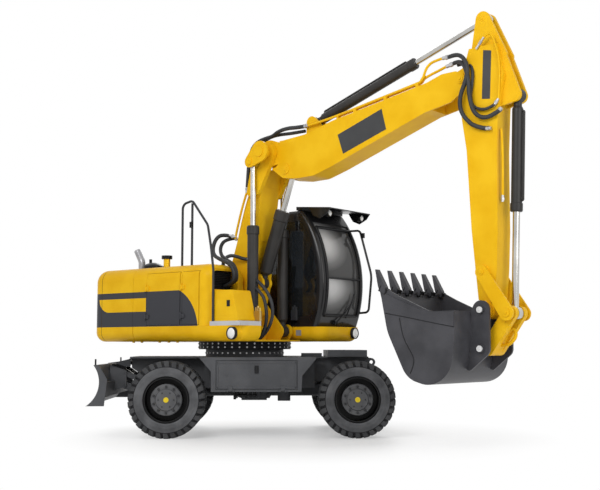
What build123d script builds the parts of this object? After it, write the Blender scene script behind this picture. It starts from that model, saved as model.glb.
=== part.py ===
from build123d import *
from math import cos, hypot, radians, sin
import os

# Wheeled excavator with a two-piece boom, a dozer blade and twin tyres. Millimetres.
# Row frame: +X the way the boom points, +Y the machine's left, +Z up, ground at Z = 0.
# Side outlines of the upper machine are (forward of the swing axis, height).
# Side outlines of the undercarriage are the same along its own length, turned by slew_angle.

# Placing
swing_x = -1165
slew_angle = 41
fit = 0.3
pin_fit = 0.3

# Wheels and axles
tyre_radius = 525
tyre_width = 278
twin_gap = 32
track_face = 1275
bead_radius = 303
shoulder = 42
rear_axle_x = -1034
front_axle_x = 1566
rim_wall = 14
wheel_disc_y = 985
wheel_disc_thick = 22
hub_radius = 215
hub_cover_radius = 140
cap_radius = 36
spindle_radius = 70
spindle_end = 900
kingpin_y = 590
kingpin_radius = 34
axle_tube_radius = 105
axle_pot_radius = 205
front_pot_radius = 150
rear_seat = 640
front_seat = 680
inner_face = track_face - 2 * tyre_width - twin_gap

# Undercarriage frame
deck_top = 1100
deck_thick = 22
front_deck_rise = 95
rail_half = 335
rail_bottom = 745
rail_rear = -1620
rail_front = 1800
centre_half = 560
centre_rear = -560
centre_front = 1010
centre_bottom = 660
box_face = 1250
box_inner = 580
box_rear = -430
box_front = 800
box_bottom = 632
box_wall = 12
box_door_thick = 14
box_door_gap = 6
ring_radius = 575
ring_flange_radius = 680
ring_joint = 1205
ring_top = 1308

tow_eye_place = (rail_front + 80, 1015)
tow_eye_radius = 26
tow_eye_thick = 40

# Blade
blade_half = 1250
blade_arm_y = 300
blade_arm_width = 60
arm_root = (-1250, 500)
arm_tip = (-1740, 700)
blade_link_rise = 170
blade_ram_y = 150
blade_ram_base = (-1290, 620)
blade_ram_tip = (-1760, 950)
blade_pin_radius = 22

# Upper machine
platform_bottom = 1318
platform_top = 1530
body_half = 1200
tail_radius = 2320
hood_rear = -1130
hood_front = 440
hood_top = 2400
hood_left_front = -300
bay_right = -530
panel = 30
shut_gap = 5
door_bottom = 1545
door_top = 2300
hood_round = 190
skirt_round = 140
corner = 200
lamp_seat = 40
nose_front = 1000
nose_inner = -770
tread_top = 1590
cab_right = 220
cab_left = 1240
cab_rear = -250
cab_floor = 1590
cab_roof = 3240
cab_bow_centre = (-351, 2173)
cab_bow_radius = 1652
cab_wall = 50
cab_edge_round = 65
pillar = 85
glass_thick = 8
cab_base_front = 1265
visor_tip = 1420
visor_rear_z = 3275
visor_tip_z = 3222
visor_slope = (visor_rear_z - visor_tip_z) / (visor_tip - 900)
near_lamp = (870, 1425)
near_lamp_radius = 74
far_lamp = (1000, 1440)
far_lamp_radius = 70

# Boom pivots and cylinder pins, all (forward of the swing axis, height)
boom_foot = (353, 1787)
boom_head = (861, 3980)
lift_base = (676, 1465)
lift_tip = (676, 3858)
lift_y = 325
positioner_base = (573, 2149)
positioner_tip = (1164, 3722)
dipper_pivot = (3983, 4542)
stick_ram_base = (1555, 4352)
stick_ram_tip = (4251, 5275)
bucket_ram_base = (4661, 4259)
tipping_top = (4243, 2134)
tipping_low = (4564, 1641)
bucket_pivot = (4271, 1680)
bucket_link_pin = (4271, 1221)

boom_y = -260
lower_boom_half = 195
upper_boom_half = 190
dipper_half = 160
bucket_half = 684
pin_radius = 45
eye_half = 50
ear_thick = 42
ram_pipe_radius = 14
boom_pipe_radius = 17

os.makedirs("parts", exist_ok=True)

swing = Vector(swing_x, 0, 0)
ahead = Vector(cos(radians(slew_angle)), sin(radians(slew_angle)), 0)
leftward = Vector(-sin(radians(slew_angle)), cos(radians(slew_angle)), 0)


def upper(y=0):
    """Side plane of the upper machine, y to the left of its centre plane."""
    return Plane(swing + Vector(0, y, 0), x_dir=(1, 0, 0), z_dir=(0, -1, 0))


def boom(y=0):
    """Side plane of the boom, which stands to the right of the upper machine's centre."""
    return upper(boom_y + y)


def upper_level(z):
    return Plane(swing + Vector(0, 0, z))


def upper_cross(x):
    """Plane across the upper machine: local x to the left, local y up, facing forward."""
    return Plane(swing + Vector(x, 0, 0), x_dir=(0, 1, 0), z_dir=(1, 0, 0))


def chassis(y=0):
    """Side plane of the undercarriage, y to the left of its centre plane."""
    return Plane(swing + leftward * y, x_dir=ahead, z_dir=leftward * -1)


def chassis_level(z):
    return Plane(swing + Vector(0, 0, z), x_dir=ahead, z_dir=(0, 0, 1))


def axle_line(x):
    """Plane through an axle: local x along the axle to the left, local y up from its centre."""
    return Plane(swing + ahead * x + Vector(0, 0, tyre_radius), x_dir=leftward, z_dir=ahead)


def plate(plane, corners, thickness, radii=0, mode=Mode.ADD):
    """Flat plate of the outline, half its thickness each side of the plane."""
    with BuildSketch(plane) as outline:
        with BuildLine():
            FilletPolyline(*corners, radius=radii, close=True)
        make_face()
    extrude(outline.sketch, amount=thickness / 2, both=True, mode=mode)


def disc(plane, centre, radius, length, mode=Mode.ADD):
    """Round bar along the plane's normal, half its length each side."""
    with BuildSketch(plane) as outline:
        with Locations(centre):
            Circle(radius)
    extrude(outline.sketch, amount=length / 2, both=True, mode=mode)


def link(plane, ends, thickness, mode=Mode.ADD):
    """Plate around two or more round ends, each (x, y, radius)."""
    with BuildSketch(plane) as outline:
        for x, y, radius in ends:
            with Locations((x, y)):
                Circle(radius)
        make_hull()
    extrude(outline.sketch, amount=thickness / 2, both=True, mode=mode)


def block(plane, x_range, y_range, height, mode=Mode.ADD):
    """Block that stands on a level plane."""
    with BuildSketch(plane) as outline:
        with Locations((sum(x_range) / 2, sum(y_range) / 2)):
            Rectangle(x_range[1] - x_range[0], y_range[1] - y_range[0])
    extrude(outline.sketch, amount=height, mode=mode)


def turned(plane, profile, mode=Mode.ADD):
    """Closed profile turned about the plane's local x axis."""
    with BuildSketch(plane) as outline:
        with BuildLine():
            Polyline(*profile, close=True)
        make_face()
    revolve(outline.sketch, axis=Axis(plane.origin, plane.x_dir), mode=mode)


def tube(points, radius, bend=0, plane=Plane(swing)):
    """Bent round tube through points of a plane, the third number along its normal."""
    places = [plane.from_local_coords(Vector(*point)) for point in points]
    with BuildLine() as path:
        if len(places) > 2:
            FilletPolyline(*places, radius=bend)
        else:
            Line(*places)
    with BuildSketch(Plane(path.line @ 0, z_dir=path.line % 0)) as outline:
        Circle(radius)
    sweep(outline.sketch, path=path.line)


def ram_line(side_plane, base, tip):
    """Plane whose local x runs from a cylinder's base pin to its rod's pin."""
    start = side_plane.from_local_coords(Vector(base[0], base[1], 0))
    end = side_plane.from_local_coords(Vector(tip[0], tip[1], 0))
    return Plane(start, x_dir=end - start, z_dir=side_plane.z_dir)


def span(base, tip):
    return hypot(tip[0] - base[0], tip[1] - base[1])


def ram_barrel(line, length, radius, rod_radius, neck, half_eye, pin, piped=False):
    """Cylinder barrel with a blind bore for its rod, a bored eye at its base and its oil pipe."""
    bore = rod_radius + fit
    bottom = neck + radius * 0.5
    turned(line, [(0, 0), (0, half_eye), (neck, half_eye), (bottom, radius),
                  (length - radius * 1.6, radius), (length - radius * 1.5, radius * 1.13),
                  (length - radius * 0.2, radius * 1.13), (length, radius * 1.0),
                  (length, bore), (bottom, bore), (bottom, 0)])
    disc(line, (0, 0), pin * 1.9, 2 * half_eye)
    disc(line, (0, 0), pin + pin_fit, 2 * half_eye + radius * 2, mode=Mode.SUBTRACT)
    if piped:
        foot = radius - 5
        out = radius + ram_pipe_radius + 6
        start = bottom + 30
        end = length - 2 * radius
        tube([(start, foot, 0), (start, out, 0), (end, out, 0), (end, foot, 0)], ram_pipe_radius,
             ram_pipe_radius + 3, line)


def ram_rod(line, length, radius, tail, half_eye, pin):
    """Piston rod from its tail in the barrel to a solid eye with the middle of its pin."""
    turned(line, [(tail, 0), (tail, radius), (length, radius), (length, 0)])
    disc(line, (length, 0), pin * 1.8, 2 * half_eye)


# Undercarriage frame
with BuildPart() as chassis_frame:
    block(chassis_level(centre_bottom), (centre_rear, centre_front), (-centre_half, centre_half),
          deck_top - deck_thick - centre_bottom)
    plate(chassis(), [(rail_rear, deck_top - deck_thick), (rail_rear, 940), (rail_rear + 290, rail_bottom),
                      (rail_front - 120, rail_bottom), (rail_front, 860), (rail_front, deck_top - deck_thick)],
          2 * rail_half)
    block(chassis_level(deck_top - deck_thick), (rail_rear, centre_front), (-centre_half, centre_half),
          deck_thick)
    block(chassis_level(deck_top - deck_thick), (centre_front, rail_front), (-400, 400), deck_thick)
    block(chassis_level(deck_top), (1200, 1760), (-620, 620), front_deck_rise)
    # Rear axle seats, front axle trunnion and the blade's hinge brackets
    for y in (-blade_arm_y, blade_arm_y):
        plate(chassis(y), [(rear_axle_x - 90, rail_bottom + 5), (rear_axle_x - 70, rear_seat),
                           (rear_axle_x + 70, rear_seat),
                           (rear_axle_x + 90, rail_bottom + 5)], 110)
    plate(chassis(), [(front_axle_x - 210, rail_bottom + 5), (front_axle_x - 160, front_seat),
                      (front_axle_x + 160, front_seat), (front_axle_x + 210, rail_bottom + 5)], 150)
    for side in (-1, 1):
        for shift in (-1, 1):
            ear_y = side * blade_arm_y + shift * (blade_arm_width / 2 + 16)
            link(chassis(ear_y), [(*arm_root, 55), (arm_root[0], rail_bottom + 30, 55)], 26)
            link(chassis(side * blade_ram_y + shift * 42), [(*blade_ram_base, 42), (-1250, 775, 42)], 24)
        for z in (arm_root[1], arm_root[1] + blade_link_rise):
            disc(chassis(side * blade_arm_y), (arm_root[0], z), blade_pin_radius, blade_arm_width + 80)
        disc(chassis(side * blade_ram_y), blade_ram_base, blade_pin_radius, 110)
    # Towing and tie-down eye on the nose
    link(chassis(), [(*tow_eye_place, 2.3 * tow_eye_radius), (rail_front - 40, tow_eye_place[1] - 60, 50),
                     (rail_front - 40, tow_eye_place[1] + 30, 50)], tow_eye_thick)
    disc(chassis(), tow_eye_place, tow_eye_radius, 2 * tow_eye_thick, mode=Mode.SUBTRACT)
chassis_frame.part.label = "chassis_frame"
export_step(chassis_frame.part, "parts/chassis_frame.step")

# Slew ring, lower half on the deck and upper half under the platform
with BuildPart() as slew_ring:
    disc(chassis_level((deck_top + ring_joint) / 2), (0, 0), ring_radius, ring_joint - deck_top)
slew_ring.part.label = "slew_ring"
export_step(slew_ring.part, "parts/slew_ring.step")

# Axles
with BuildPart() as rear_axle:
    line = axle_line(rear_axle_x)
    turned(line, [(-spindle_end, 0), (-spindle_end, spindle_radius), (-inner_face + 3, spindle_radius),
                  (-inner_face + 3, 150), (-inner_face + 45, 150), (-inner_face + 45, axle_tube_radius),
                  (-230, axle_tube_radius), (-110, axle_pot_radius), (110, axle_pot_radius),
                  (230, axle_tube_radius), (inner_face - 45, axle_tube_radius), (inner_face - 45, 150),
                  (inner_face - 3, 150), (inner_face - 3, spindle_radius), (spindle_end, spindle_radius),
                  (spindle_end, 0)])
    for y in (-blade_arm_y, blade_arm_y):
        block(chassis_level(tyre_radius), (rear_axle_x - 80, rear_axle_x + 80), (y - 60, y + 60),
              rear_seat - tyre_radius - fit)
rear_axle.part.label = "rear_axle"
export_step(rear_axle.part, "parts/rear_axle.step")

fork_reach = kingpin_y + 60
fork_gap = 80
with BuildPart() as front_axle:
    line = axle_line(front_axle_x)
    turned(line, [(-kingpin_y + 110, 0), (-kingpin_y + 110, axle_tube_radius), (-260, axle_tube_radius),
                  (-120, front_pot_radius), (120, front_pot_radius), (260, axle_tube_radius),
                  (kingpin_y - 110, axle_tube_radius), (kingpin_y - 110, 0)])
    block(chassis_level(tyre_radius), (front_axle_x - 150, front_axle_x + 150), (-70, 70),
          front_seat - tyre_radius - fit)
    for side in (-1, 1):
        for level in (-1, 1):
            with BuildSketch(chassis_level(tyre_radius + level * (fork_gap + 20))) as outline:
                with Locations((front_axle_x, side * kingpin_y)):
                    Circle(62)
                with Locations((front_axle_x, side * (kingpin_y - 110))):
                    Rectangle(120, 100)
                make_hull()
            extrude(outline.sketch, amount=20, both=True)
        block(chassis_level(tyre_radius - fork_gap), (front_axle_x - 60, front_axle_x + 60),
              sorted((side * (kingpin_y - 160), side * (kingpin_y - 95))), 2 * fork_gap)
        disc(chassis_level(tyre_radius), (front_axle_x, side * kingpin_y), kingpin_radius, 2 * fork_gap + 80)
front_axle.part.label = "front_axle"
export_step(front_axle.part, "parts/front_axle.step")

knuckle_height = 2 * fork_gap - 4
for name, side in (("knuckle_left", 1), ("knuckle_right", -1)):
    with BuildPart() as knuckle:
        line = axle_line(front_axle_x)
        turned(line, [(side * kingpin_y, 0), (side * kingpin_y, 76), (side * (inner_face - 22), 76),
                      (side * (inner_face - 22), 150), (side * (inner_face - 3), 150),
                      (side * (inner_face - 3), spindle_radius), (side * spindle_end, spindle_radius),
                      (side * spindle_end, 0)])
        disc(chassis_level(tyre_radius), (front_axle_x, side * kingpin_y), 74, knuckle_height)
        disc(chassis_level(tyre_radius), (front_axle_x, side * kingpin_y), kingpin_radius + pin_fit,
             4 * fork_gap, mode=Mode.SUBTRACT)
    knuckle.part.label = name
    export_step(knuckle.part, "parts/" + name + ".step")

# Prop shafts and the transfer gearbox under the frame
with BuildPart() as drive_line:
    block(chassis_level(470), (-40, 330), (-230, 230), centre_bottom - 470)
    plate(chassis(120), [(-40, 480), (-100, 500), (-100, 620), (-40, 640)], 120)
    for start, end in ((-100, rear_axle_x + axle_pot_radius + 1), (330, front_axle_x - front_pot_radius - 1)):
        shaft = Plane(swing + ahead * start + Vector(0, 0, 560), x_dir=ahead * (1 if end > start else -1),
                      z_dir=leftward)
        turned(shaft, [(0, 0), (0, 75), (40, 75), (60, 38), (abs(end - start) - 60, 38),
                       (abs(end - start) - 40, 70), (abs(end - start), 70), (abs(end - start), 0)])
drive_line.part.label = "drive_line"
export_step(drive_line.part, "parts/drive_line.step")

# Wheels: two tyres and one rim with its hub on each corner
corners = (("rear_left", rear_axle_x, 1), ("rear_right", rear_axle_x, -1),
           ("front_left", front_axle_x, 1), ("front_right", front_axle_x, -1))
for name, axle_x, side in corners:
    line = axle_line(axle_x)
    with BuildPart() as tyres:
        for start in (inner_face, track_face - tyre_width):
            section = [(14, bead_radius), (0, bead_radius + 90), (8, tyre_radius - shoulder),
                       (shoulder, tyre_radius)]
            other = [(tyre_width - s, r) for s, r in reversed(section)]
            turned(line, [(side * (start + s), r) for s, r in section + other])
    tyres.part.label = "tyres_" + name
    export_step(tyres.part, "parts/tyres_" + name + ".step")
    rim = bead_radius - fit
    wheel_outer = track_face - 14
    with BuildPart() as wheel:
        profile = [(inner_face, spindle_radius + pin_fit), (inner_face, 150), (wheel_disc_y - wheel_disc_thick, 150),
                   (wheel_disc_y - wheel_disc_thick, rim - rim_wall), (inner_face + 14, rim - rim_wall),
                   (inner_face + 14, rim), (wheel_outer, rim), (wheel_outer, rim - rim_wall),
                   (wheel_disc_y + wheel_disc_thick, rim - rim_wall), (wheel_disc_y + wheel_disc_thick, hub_radius),
                   (track_face - 60, hub_radius), (track_face - 50, hub_radius - 10),
                   (track_face - 50, hub_cover_radius + 10), (track_face - 28, hub_cover_radius),
                   (track_face - 28, cap_radius), (track_face - 18, cap_radius), (track_face - 18, 0),
                   (spindle_end + 5, 0), (spindle_end + 5, spindle_radius + pin_fit)]
        turned(line, [(side * s, r) for s, r in profile])
    wheel.part.label = "wheel_" + name
    export_step(wheel.part, "parts/wheel_" + name + ".step")

# Side boxes with drop-down doors
box_outline = [(box_rear, box_bottom), (box_front, box_bottom), (box_front + 12, 850),
               (centre_front - 10, deck_top - 22), (centre_front - 10, deck_top), (box_rear - 155, deck_top),
               (box_rear - 155, deck_top - 14), (box_rear, 905)]
box_mid = (box_face + centre_half) / 2
box_deep = box_face - centre_half
door_low = box_bottom + 28
door_high = deck_top - 42
door_rear = box_rear + 65
door_front = box_front - 55
hinge_out = 16
hinge_back = 4
hinge_pin_radius = 7
hinge_pitch = 200


def hinge_lugs(plane, axis, seat):
    """Hinge pin along the plane's normal with a lug at each end, seated on ((x0, x1), (y0, y1))."""
    disc(plane, axis, hinge_pin_radius, 96)
    for end in (-1, 1):
        with BuildSketch(plane.offset(end * 39)) as outline:
            with Locations((sum(seat[0]) / 2, sum(seat[1]) / 2)):
                Rectangle(abs(seat[0][1] - seat[0][0]), abs(seat[1][1] - seat[1][0]))
        extrude(outline.sketch, amount=9, both=True)


def hinge_knuckle(plane, axis, seat):
    """Bored hinge knuckle with its strap, which turns between the lugs."""
    disc(plane, axis, 2 * hinge_pin_radius, 58)
    with BuildSketch(plane) as outline:
        with Locations((sum(seat[0]) / 2, sum(seat[1]) / 2)):
            Rectangle(abs(seat[0][1] - seat[0][0]), abs(seat[1][1] - seat[1][0]))
    extrude(outline.sketch, amount=29, both=True)
    disc(plane, axis, hinge_pin_radius + pin_fit, 70, mode=Mode.SUBTRACT)


def chassis_cross(x):
    return Plane(swing + ahead * x, x_dir=leftward, z_dir=ahead)


with BuildPart() as side_boxes:
    for side in (-1, 1):
        plate(chassis(side * box_mid), box_outline, box_deep)
        plate(chassis(side * box_mid), [(box_rear + box_wall, box_bottom + box_wall),
                                        (box_front - box_wall, box_bottom + box_wall),
                                        (box_front - box_wall, deck_top - box_wall),
                                        (box_rear + box_wall, deck_top - box_wall)],
              box_deep - 2 * box_wall, mode=Mode.SUBTRACT)
        plate(chassis(side * box_face), [(door_rear, door_low), (door_front, door_low),
                                         (door_front, door_high), (door_rear, door_high)],
              3 * box_wall, mode=Mode.SUBTRACT)
        for x in (door_rear + hinge_pitch, door_front - hinge_pitch):
            hinge_lugs(chassis_cross(x), (side * (box_face + hinge_out), door_low - hinge_back),
                       ((side * (box_face - 1), side * (box_face + 25)), (door_low - 30, door_low + 3.5)))
side_boxes.part.label = "side_boxes"
export_step(side_boxes.part, "parts/side_boxes.step")

for name, side in (("side_box_door_left", 1), ("side_box_door_right", -1)):
    with BuildPart() as box_door:
        plate(chassis(side * (box_face - box_door_thick / 2)),
              [(door_rear + box_door_gap, door_low + box_door_gap), (door_front - box_door_gap, door_low + box_door_gap),
               (door_front - box_door_gap, door_high - box_door_gap), (door_rear + box_door_gap, door_high - box_door_gap)],
              box_door_thick)
        for x in (door_rear + hinge_pitch, door_front - hinge_pitch):
            hinge_knuckle(chassis_cross(x), (side * (box_face + hinge_out), door_low - hinge_back),
                          ((side * (box_face - 1), side * (box_face + 16)), (door_low + 7, door_low + 50)))
    box_door.part.label = name
    export_step(box_door.part, "parts/" + name + ".step")

# Blade on its two arms, held by two short cylinders
with BuildPart() as blade_arms:
    for side in (-1, 1):
        link(chassis(side * blade_arm_y), [(*arm_root, 58), (*arm_tip, 46)], blade_arm_width)
    for x, z in (arm_root, arm_tip):
        disc(chassis(), (x, z), blade_pin_radius + pin_fit, 3 * blade_arm_y, mode=Mode.SUBTRACT)
    plate(chassis(), [(arm_root[0] - 120, 500), (arm_root[0] - 120, 590), (arm_root[0] - 200, 620),
                      (arm_root[0] - 200, 540)], 2 * blade_arm_y)
blade_arms.part.label = "blade_arms"
export_step(blade_arms.part, "parts/blade_arms.step")

with BuildPart() as blade_links:
    for side in (-1, 1):
        link(chassis(side * blade_arm_y), [(arm_root[0], arm_root[1] + blade_link_rise, 36),
                                           (arm_tip[0], arm_tip[1] + blade_link_rise, 36)], 50)
    for x, z in (arm_root, arm_tip):
        disc(chassis(), (x, z + blade_link_rise), blade_pin_radius + pin_fit, 3 * blade_arm_y, mode=Mode.SUBTRACT)
blade_links.part.label = "blade_links"
export_step(blade_links.part, "parts/blade_links.step")

with BuildPart() as dozer_blade:
    with BuildSketch(chassis()) as skin:
        with BuildLine():
            ThreePointArc((-2020, 995), (-1943, 720), (-2115, 443))
            Line((-2115, 443), (-2080, 443))
            ThreePointArc((-2080, 443), (-1915, 720), (-1990, 995))
            Line((-1990, 995), (-2020, 995))
        make_face()
    extrude(skin.sketch, amount=blade_half, both=True)
    for side in (-1, 1):
        with BuildSketch(chassis(side * (blade_half - 8))) as cheek:
            with BuildLine():
                ThreePointArc((-2020, 995), (-1943, 720), (-2115, 443))
                Polyline((-2115, 443), (-1870, 443), (-1830, 800), (-1945, 995), (-2020, 995))
            make_face()
        extrude(cheek.sketch, amount=8, both=True)
        for shift in (-1, 1):
            lug_y = side * blade_arm_y + shift * (blade_arm_width / 2 + 16)
            link(chassis(lug_y), [(*arm_tip, 48), (arm_tip[0], arm_tip[1] + blade_link_rise, 48),
                                  (-1900, 640, 30), (-1900, 940, 30)], 26)
            ram_y = side * blade_ram_y + shift * 45
            link(chassis(ram_y), [(*blade_ram_tip, 42), (-1905, 960, 30), (-1905, 860, 30)], 24)
        disc(chassis(side * blade_arm_y), arm_tip, blade_pin_radius, blade_arm_width + 70)
        disc(chassis(side * blade_arm_y), (arm_tip[0], arm_tip[1] + blade_link_rise), blade_pin_radius,
             blade_arm_width + 70)
    plate(chassis(), [(-1930, 560), (-1860, 560), (-1860, 760), (-1930, 760)], 2 * blade_half - 40)
dozer_blade.part.label = "dozer_blade"
export_step(dozer_blade.part, "parts/dozer_blade.step")

blade_ram_length = span(blade_ram_base, blade_ram_tip)
with BuildPart() as blade_barrels:
    for side in (-1, 1):
        ram_barrel(ram_line(chassis(side * blade_ram_y), blade_ram_base, blade_ram_tip), 390, 44, 24, 60,
                   28, blade_pin_radius)
blade_barrels.part.label = "blade_barrels"
export_step(blade_barrels.part, "parts/blade_barrels.step")

with BuildPart() as blade_rods:
    for side in (-1, 1):
        ram_rod(ram_line(chassis(side * blade_ram_y), blade_ram_base, blade_ram_tip), blade_ram_length, 24, 300,
                28, blade_pin_radius)
blade_rods.part.label = "blade_rods"
export_step(blade_rods.part, "parts/blade_rods.step")

# Upper frame: platform, boom tower and cylinder ears
tower_y = 224
tower_thick = 34
lift_ear_y = 425
lift_ear_thick = 32
bay_rear = 470
with BuildPart() as upper_frame:
    block(upper_level(platform_bottom), (hood_rear + shut_gap, nose_front), (-body_half, nose_inner),
          platform_top - platform_bottom)
    fillet(upper_frame.edges().filter_by(Axis.Z).sort_by(Axis.Y)[0:2].sort_by(Axis.X)[-1], corner)
    fillet(upper_frame.faces().sort_by(Axis.Z)[0].edges().sort_by(Axis.Y)[0], skirt_round)
    block(upper_level(platform_bottom), (hood_rear + shut_gap, cab_base_front), (cab_right, cab_left),
          platform_top - platform_bottom)
    fillet(upper_frame.edges().filter_by(Axis.Z).group_by(Axis.X)[-1], corner)
    fillet(upper_frame.edges().group_by(Axis.Z)[0].sort_by(Axis.Y)[-1], skirt_round)
    disc(upper(lamp_seat - body_half), near_lamp, near_lamp_radius + 14, 2 * lamp_seat)
    disc(upper_cross(cab_base_front - lamp_seat), far_lamp, far_lamp_radius + 14, 2 * lamp_seat)
    disc(upper_level((ring_joint + fit + platform_bottom) / 2), (0, 0), ring_flange_radius,
         platform_bottom - ring_joint - fit)
    block(upper_level(platform_bottom), (hood_rear + shut_gap, bay_rear), (nose_inner, cab_right),
          platform_top - platform_bottom)
    block(upper_level(platform_bottom), (bay_rear - 10, 880), (nose_inner, cab_right), 22)
    for y in (-tower_y, tower_y):
        link(boom(y), [(*boom_foot, 118), (*lift_base, 98), (-18, 1533, 30), (-18, 1357, 30),
                        (676, 1377, 50)], tower_thick)
    for y in (-lift_ear_y, lift_ear_y):
        link(boom(y), [(*lift_base, 98), (412, 1475, 40), (412, 1367, 40), (676, 1377, 50)], lift_ear_thick)
    disc(boom(), boom_foot, pin_radius, 2 * tower_y + 60)
    for y in (-lift_y, lift_y):
        disc(boom(y), lift_base, pin_radius, 220)
upper_frame.part.label = "upper_frame"
export_step(upper_frame.part, "parts/upper_frame.step")

# Counterweight and hood share one rounded outline
with BuildPart() as counterweight:
    with BuildSketch(upper_level(platform_bottom)) as outline:
        Circle(tail_radius)
        with Locations((-tail_radius + 750, 0)):
            Rectangle(1500, 2 * body_half, mode=Mode.INTERSECT)
    extrude(outline.sketch, amount=hood_top - platform_bottom)
    fillet(counterweight.edges().filter_by(Axis.Z).group_by(Axis.X)[0], corner)
    fillet(counterweight.faces().sort_by(Axis.Z)[-1].edges(), hood_round)
    fillet(counterweight.faces().sort_by(Axis.Z)[0].edges(), skirt_round)
    split(bisect_by=Plane(swing + Vector(hood_rear - shut_gap, 0, 0), z_dir=(-1, 0, 0)))
counterweight.part.label = "counterweight"
export_step(counterweight.part, "parts/counterweight.step")

def hood_volume(inset):
    """Rounded volume of the hood, smaller by the inset on every side but its foot."""
    side = body_half - inset
    rear = 2 * hood_rear
    with BuildPart() as volume:
        with BuildSketch(upper_level(platform_top)) as outline:
            with Locations(((rear + hood_front - inset) / 2, (bay_right - inset - side) / 2)):
                Rectangle(hood_front - inset - rear, bay_right - inset + side)
            with Locations(((rear + hood_left_front - inset) / 2, 0)):
                Rectangle(hood_left_front - inset - rear, 2 * side)
        extrude(outline.sketch, amount=hood_top - inset - platform_top)
        fillet(volume.edges().filter_by(Axis.Z).sort_by(Axis.Y)[0:2].sort_by(Axis.X)[-1], corner - inset)
        fillet(volume.faces().sort_by(Axis.Z)[-1].edges(), hood_round - inset)
        split(bisect_by=Plane(swing + Vector(hood_rear, 0, 0), z_dir=(1, 0, 0)))
    return volume.part


# name, side, rear edge, front edge, top edge of each service door
service_doors = (("service_door_right", -1, -840, -140, door_top), ("pump_door_right", -1, -110, 235, door_top),
                 ("service_door_left", 1, -1100, -350, hood_top - hood_round - 10))
door_depth = 120
hood_shape = hood_volume(0)
hood_inside = hood_volume(panel)
bonnet_x = (hood_rear + 60, hood_left_front - hood_round - 50)
bonnet_y = (-560, body_half - hood_round - 40)
bonnet_thick = 34
hinge_inset = 130
door_hinge_top = hood_top - hood_round - hinge_inset
front_box_top = 2015
front_opening_y = (90 - body_half, bay_right - 110)
with BuildPart() as hood_shell:
    add(hood_shape)
    add(hood_inside, mode=Mode.SUBTRACT)
    for name, side, rear, front, top in service_doors:
        block(upper_level(door_bottom), (rear, front), sorted((side * (body_half - door_depth), side * (body_half + 5))),
              top - door_bottom, mode=Mode.SUBTRACT)
    block(upper_level(hood_top - 2 * panel), bonnet_x, bonnet_y, 3 * panel, mode=Mode.SUBTRACT)
    block(upper_level(front_box_top + 20), (hood_front - 2 * panel, hood_front + 5), front_opening_y, 295, mode=Mode.SUBTRACT)
    for name, side, rear, front, top in service_doors:
        for z in (door_bottom + hinge_inset, door_hinge_top):
            hinge_lugs(upper_level(z), (rear - hinge_back, side * (body_half + hinge_out)),
                       ((rear - 30, rear + 3.5), (side * (body_half - 1), side * (body_half + 25))))
    for y in (bonnet_y[0] + 250, bonnet_y[1] - 250):
        hinge_lugs(upper(y), (bonnet_x[1] + 12, hood_top + 32),
                   ((bonnet_x[1] + 2, bonnet_x[1] + 40), (hood_top - 1, hood_top + 42)))
hood_shell.part.label = "hood_shell"
export_step(hood_shell.part, "parts/hood_shell.step")

# Each door is cut from the same rounded shape as the shell
for name, side, rear, front, top in service_doors:
    with BuildPart() as door:
        block(upper_level(door_bottom + shut_gap), (rear + shut_gap, front - 3 * shut_gap),
              sorted((side * (body_half - door_depth), side * (body_half + 5))), top - door_bottom - 2 * shut_gap)
        add(hood_shape, mode=Mode.INTERSECT)
        add(hood_inside, mode=Mode.SUBTRACT)
        for z in (door_bottom + hinge_inset, door_hinge_top):
            hinge_knuckle(upper_level(z), (rear - hinge_back, side * (body_half + hinge_out)),
                          ((rear + 7, rear + 60), (side * (body_half - 1), side * (body_half + 16))))
    door.part.label = name
    export_step(door.part, "parts/" + name + ".step")

with BuildPart() as engine_bonnet:
    block(upper_level(hood_top - panel), (bonnet_x[0] + shut_gap, bonnet_x[1] - shut_gap),
          (bonnet_y[0] + shut_gap, bonnet_y[1] - shut_gap), panel + bonnet_thick)
    fillet(engine_bonnet.faces().sort_by(Axis.Z)[-1].edges(), 20)
    for y in (bonnet_y[0] + 250, bonnet_y[1] - 250):
        hinge_knuckle(upper(y), (bonnet_x[1] + 12, hood_top + 32),
                      ((bonnet_x[1] - 60, bonnet_x[1]), (hood_top + 30, hood_top + 42)))
engine_bonnet.part.label = "engine_bonnet"
export_step(engine_bonnet.part, "parts/engine_bonnet.step")

with BuildPart() as engine_block:
    block(upper_level(platform_top), (-1060, -420), (-500, 620), 620)
engine_block.part.label = "engine_block"
export_step(engine_block.part, "parts/engine_block.step")

with BuildPart() as tread_plate:
    block(upper_level(platform_top), (hood_front, nose_front), (-body_half, nose_inner), tread_top - platform_top)
tread_plate.part.label = "tread_plate"
export_step(tread_plate.part, "parts/tread_plate.step")

with BuildPart() as front_box:
    plate(upper((-body_half + nose_inner) / 2 + 10), [(hood_front + fit, tread_top), (930, tread_top),
                                                      (820, front_box_top), (hood_front + fit, front_box_top)],
          body_half + nose_inner - 70, radii=[0, 20, 40, 0])
front_box.part.label = "front_box"
export_step(front_box.part, "parts/front_box.step")

rail_radius = 17
rail_y = hood_round + 5 - body_half
rail_foot_y = 22 - body_half
rail_x = (-312, -115, 479)
rail_top = 3290
with BuildPart() as handrails:
    tube([(rail_x[0], rail_y, hood_top), (rail_x[0], rail_y, rail_top), (rail_x[1], rail_y, rail_top + 40),
          (240, rail_y - 45, 2950), (430, rail_foot_y, 2620), (rail_x[2], rail_foot_y, 2300),
          (rail_x[2], rail_foot_y, tread_top)], rail_radius, [90, 90, 250, 250, 250])
    tube([(rail_x[1], rail_y, hood_top), (rail_x[1], rail_y, rail_top)], rail_radius)
handrails.part.label = "handrails"
export_step(handrails.part, "parts/handrails.step")

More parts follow.
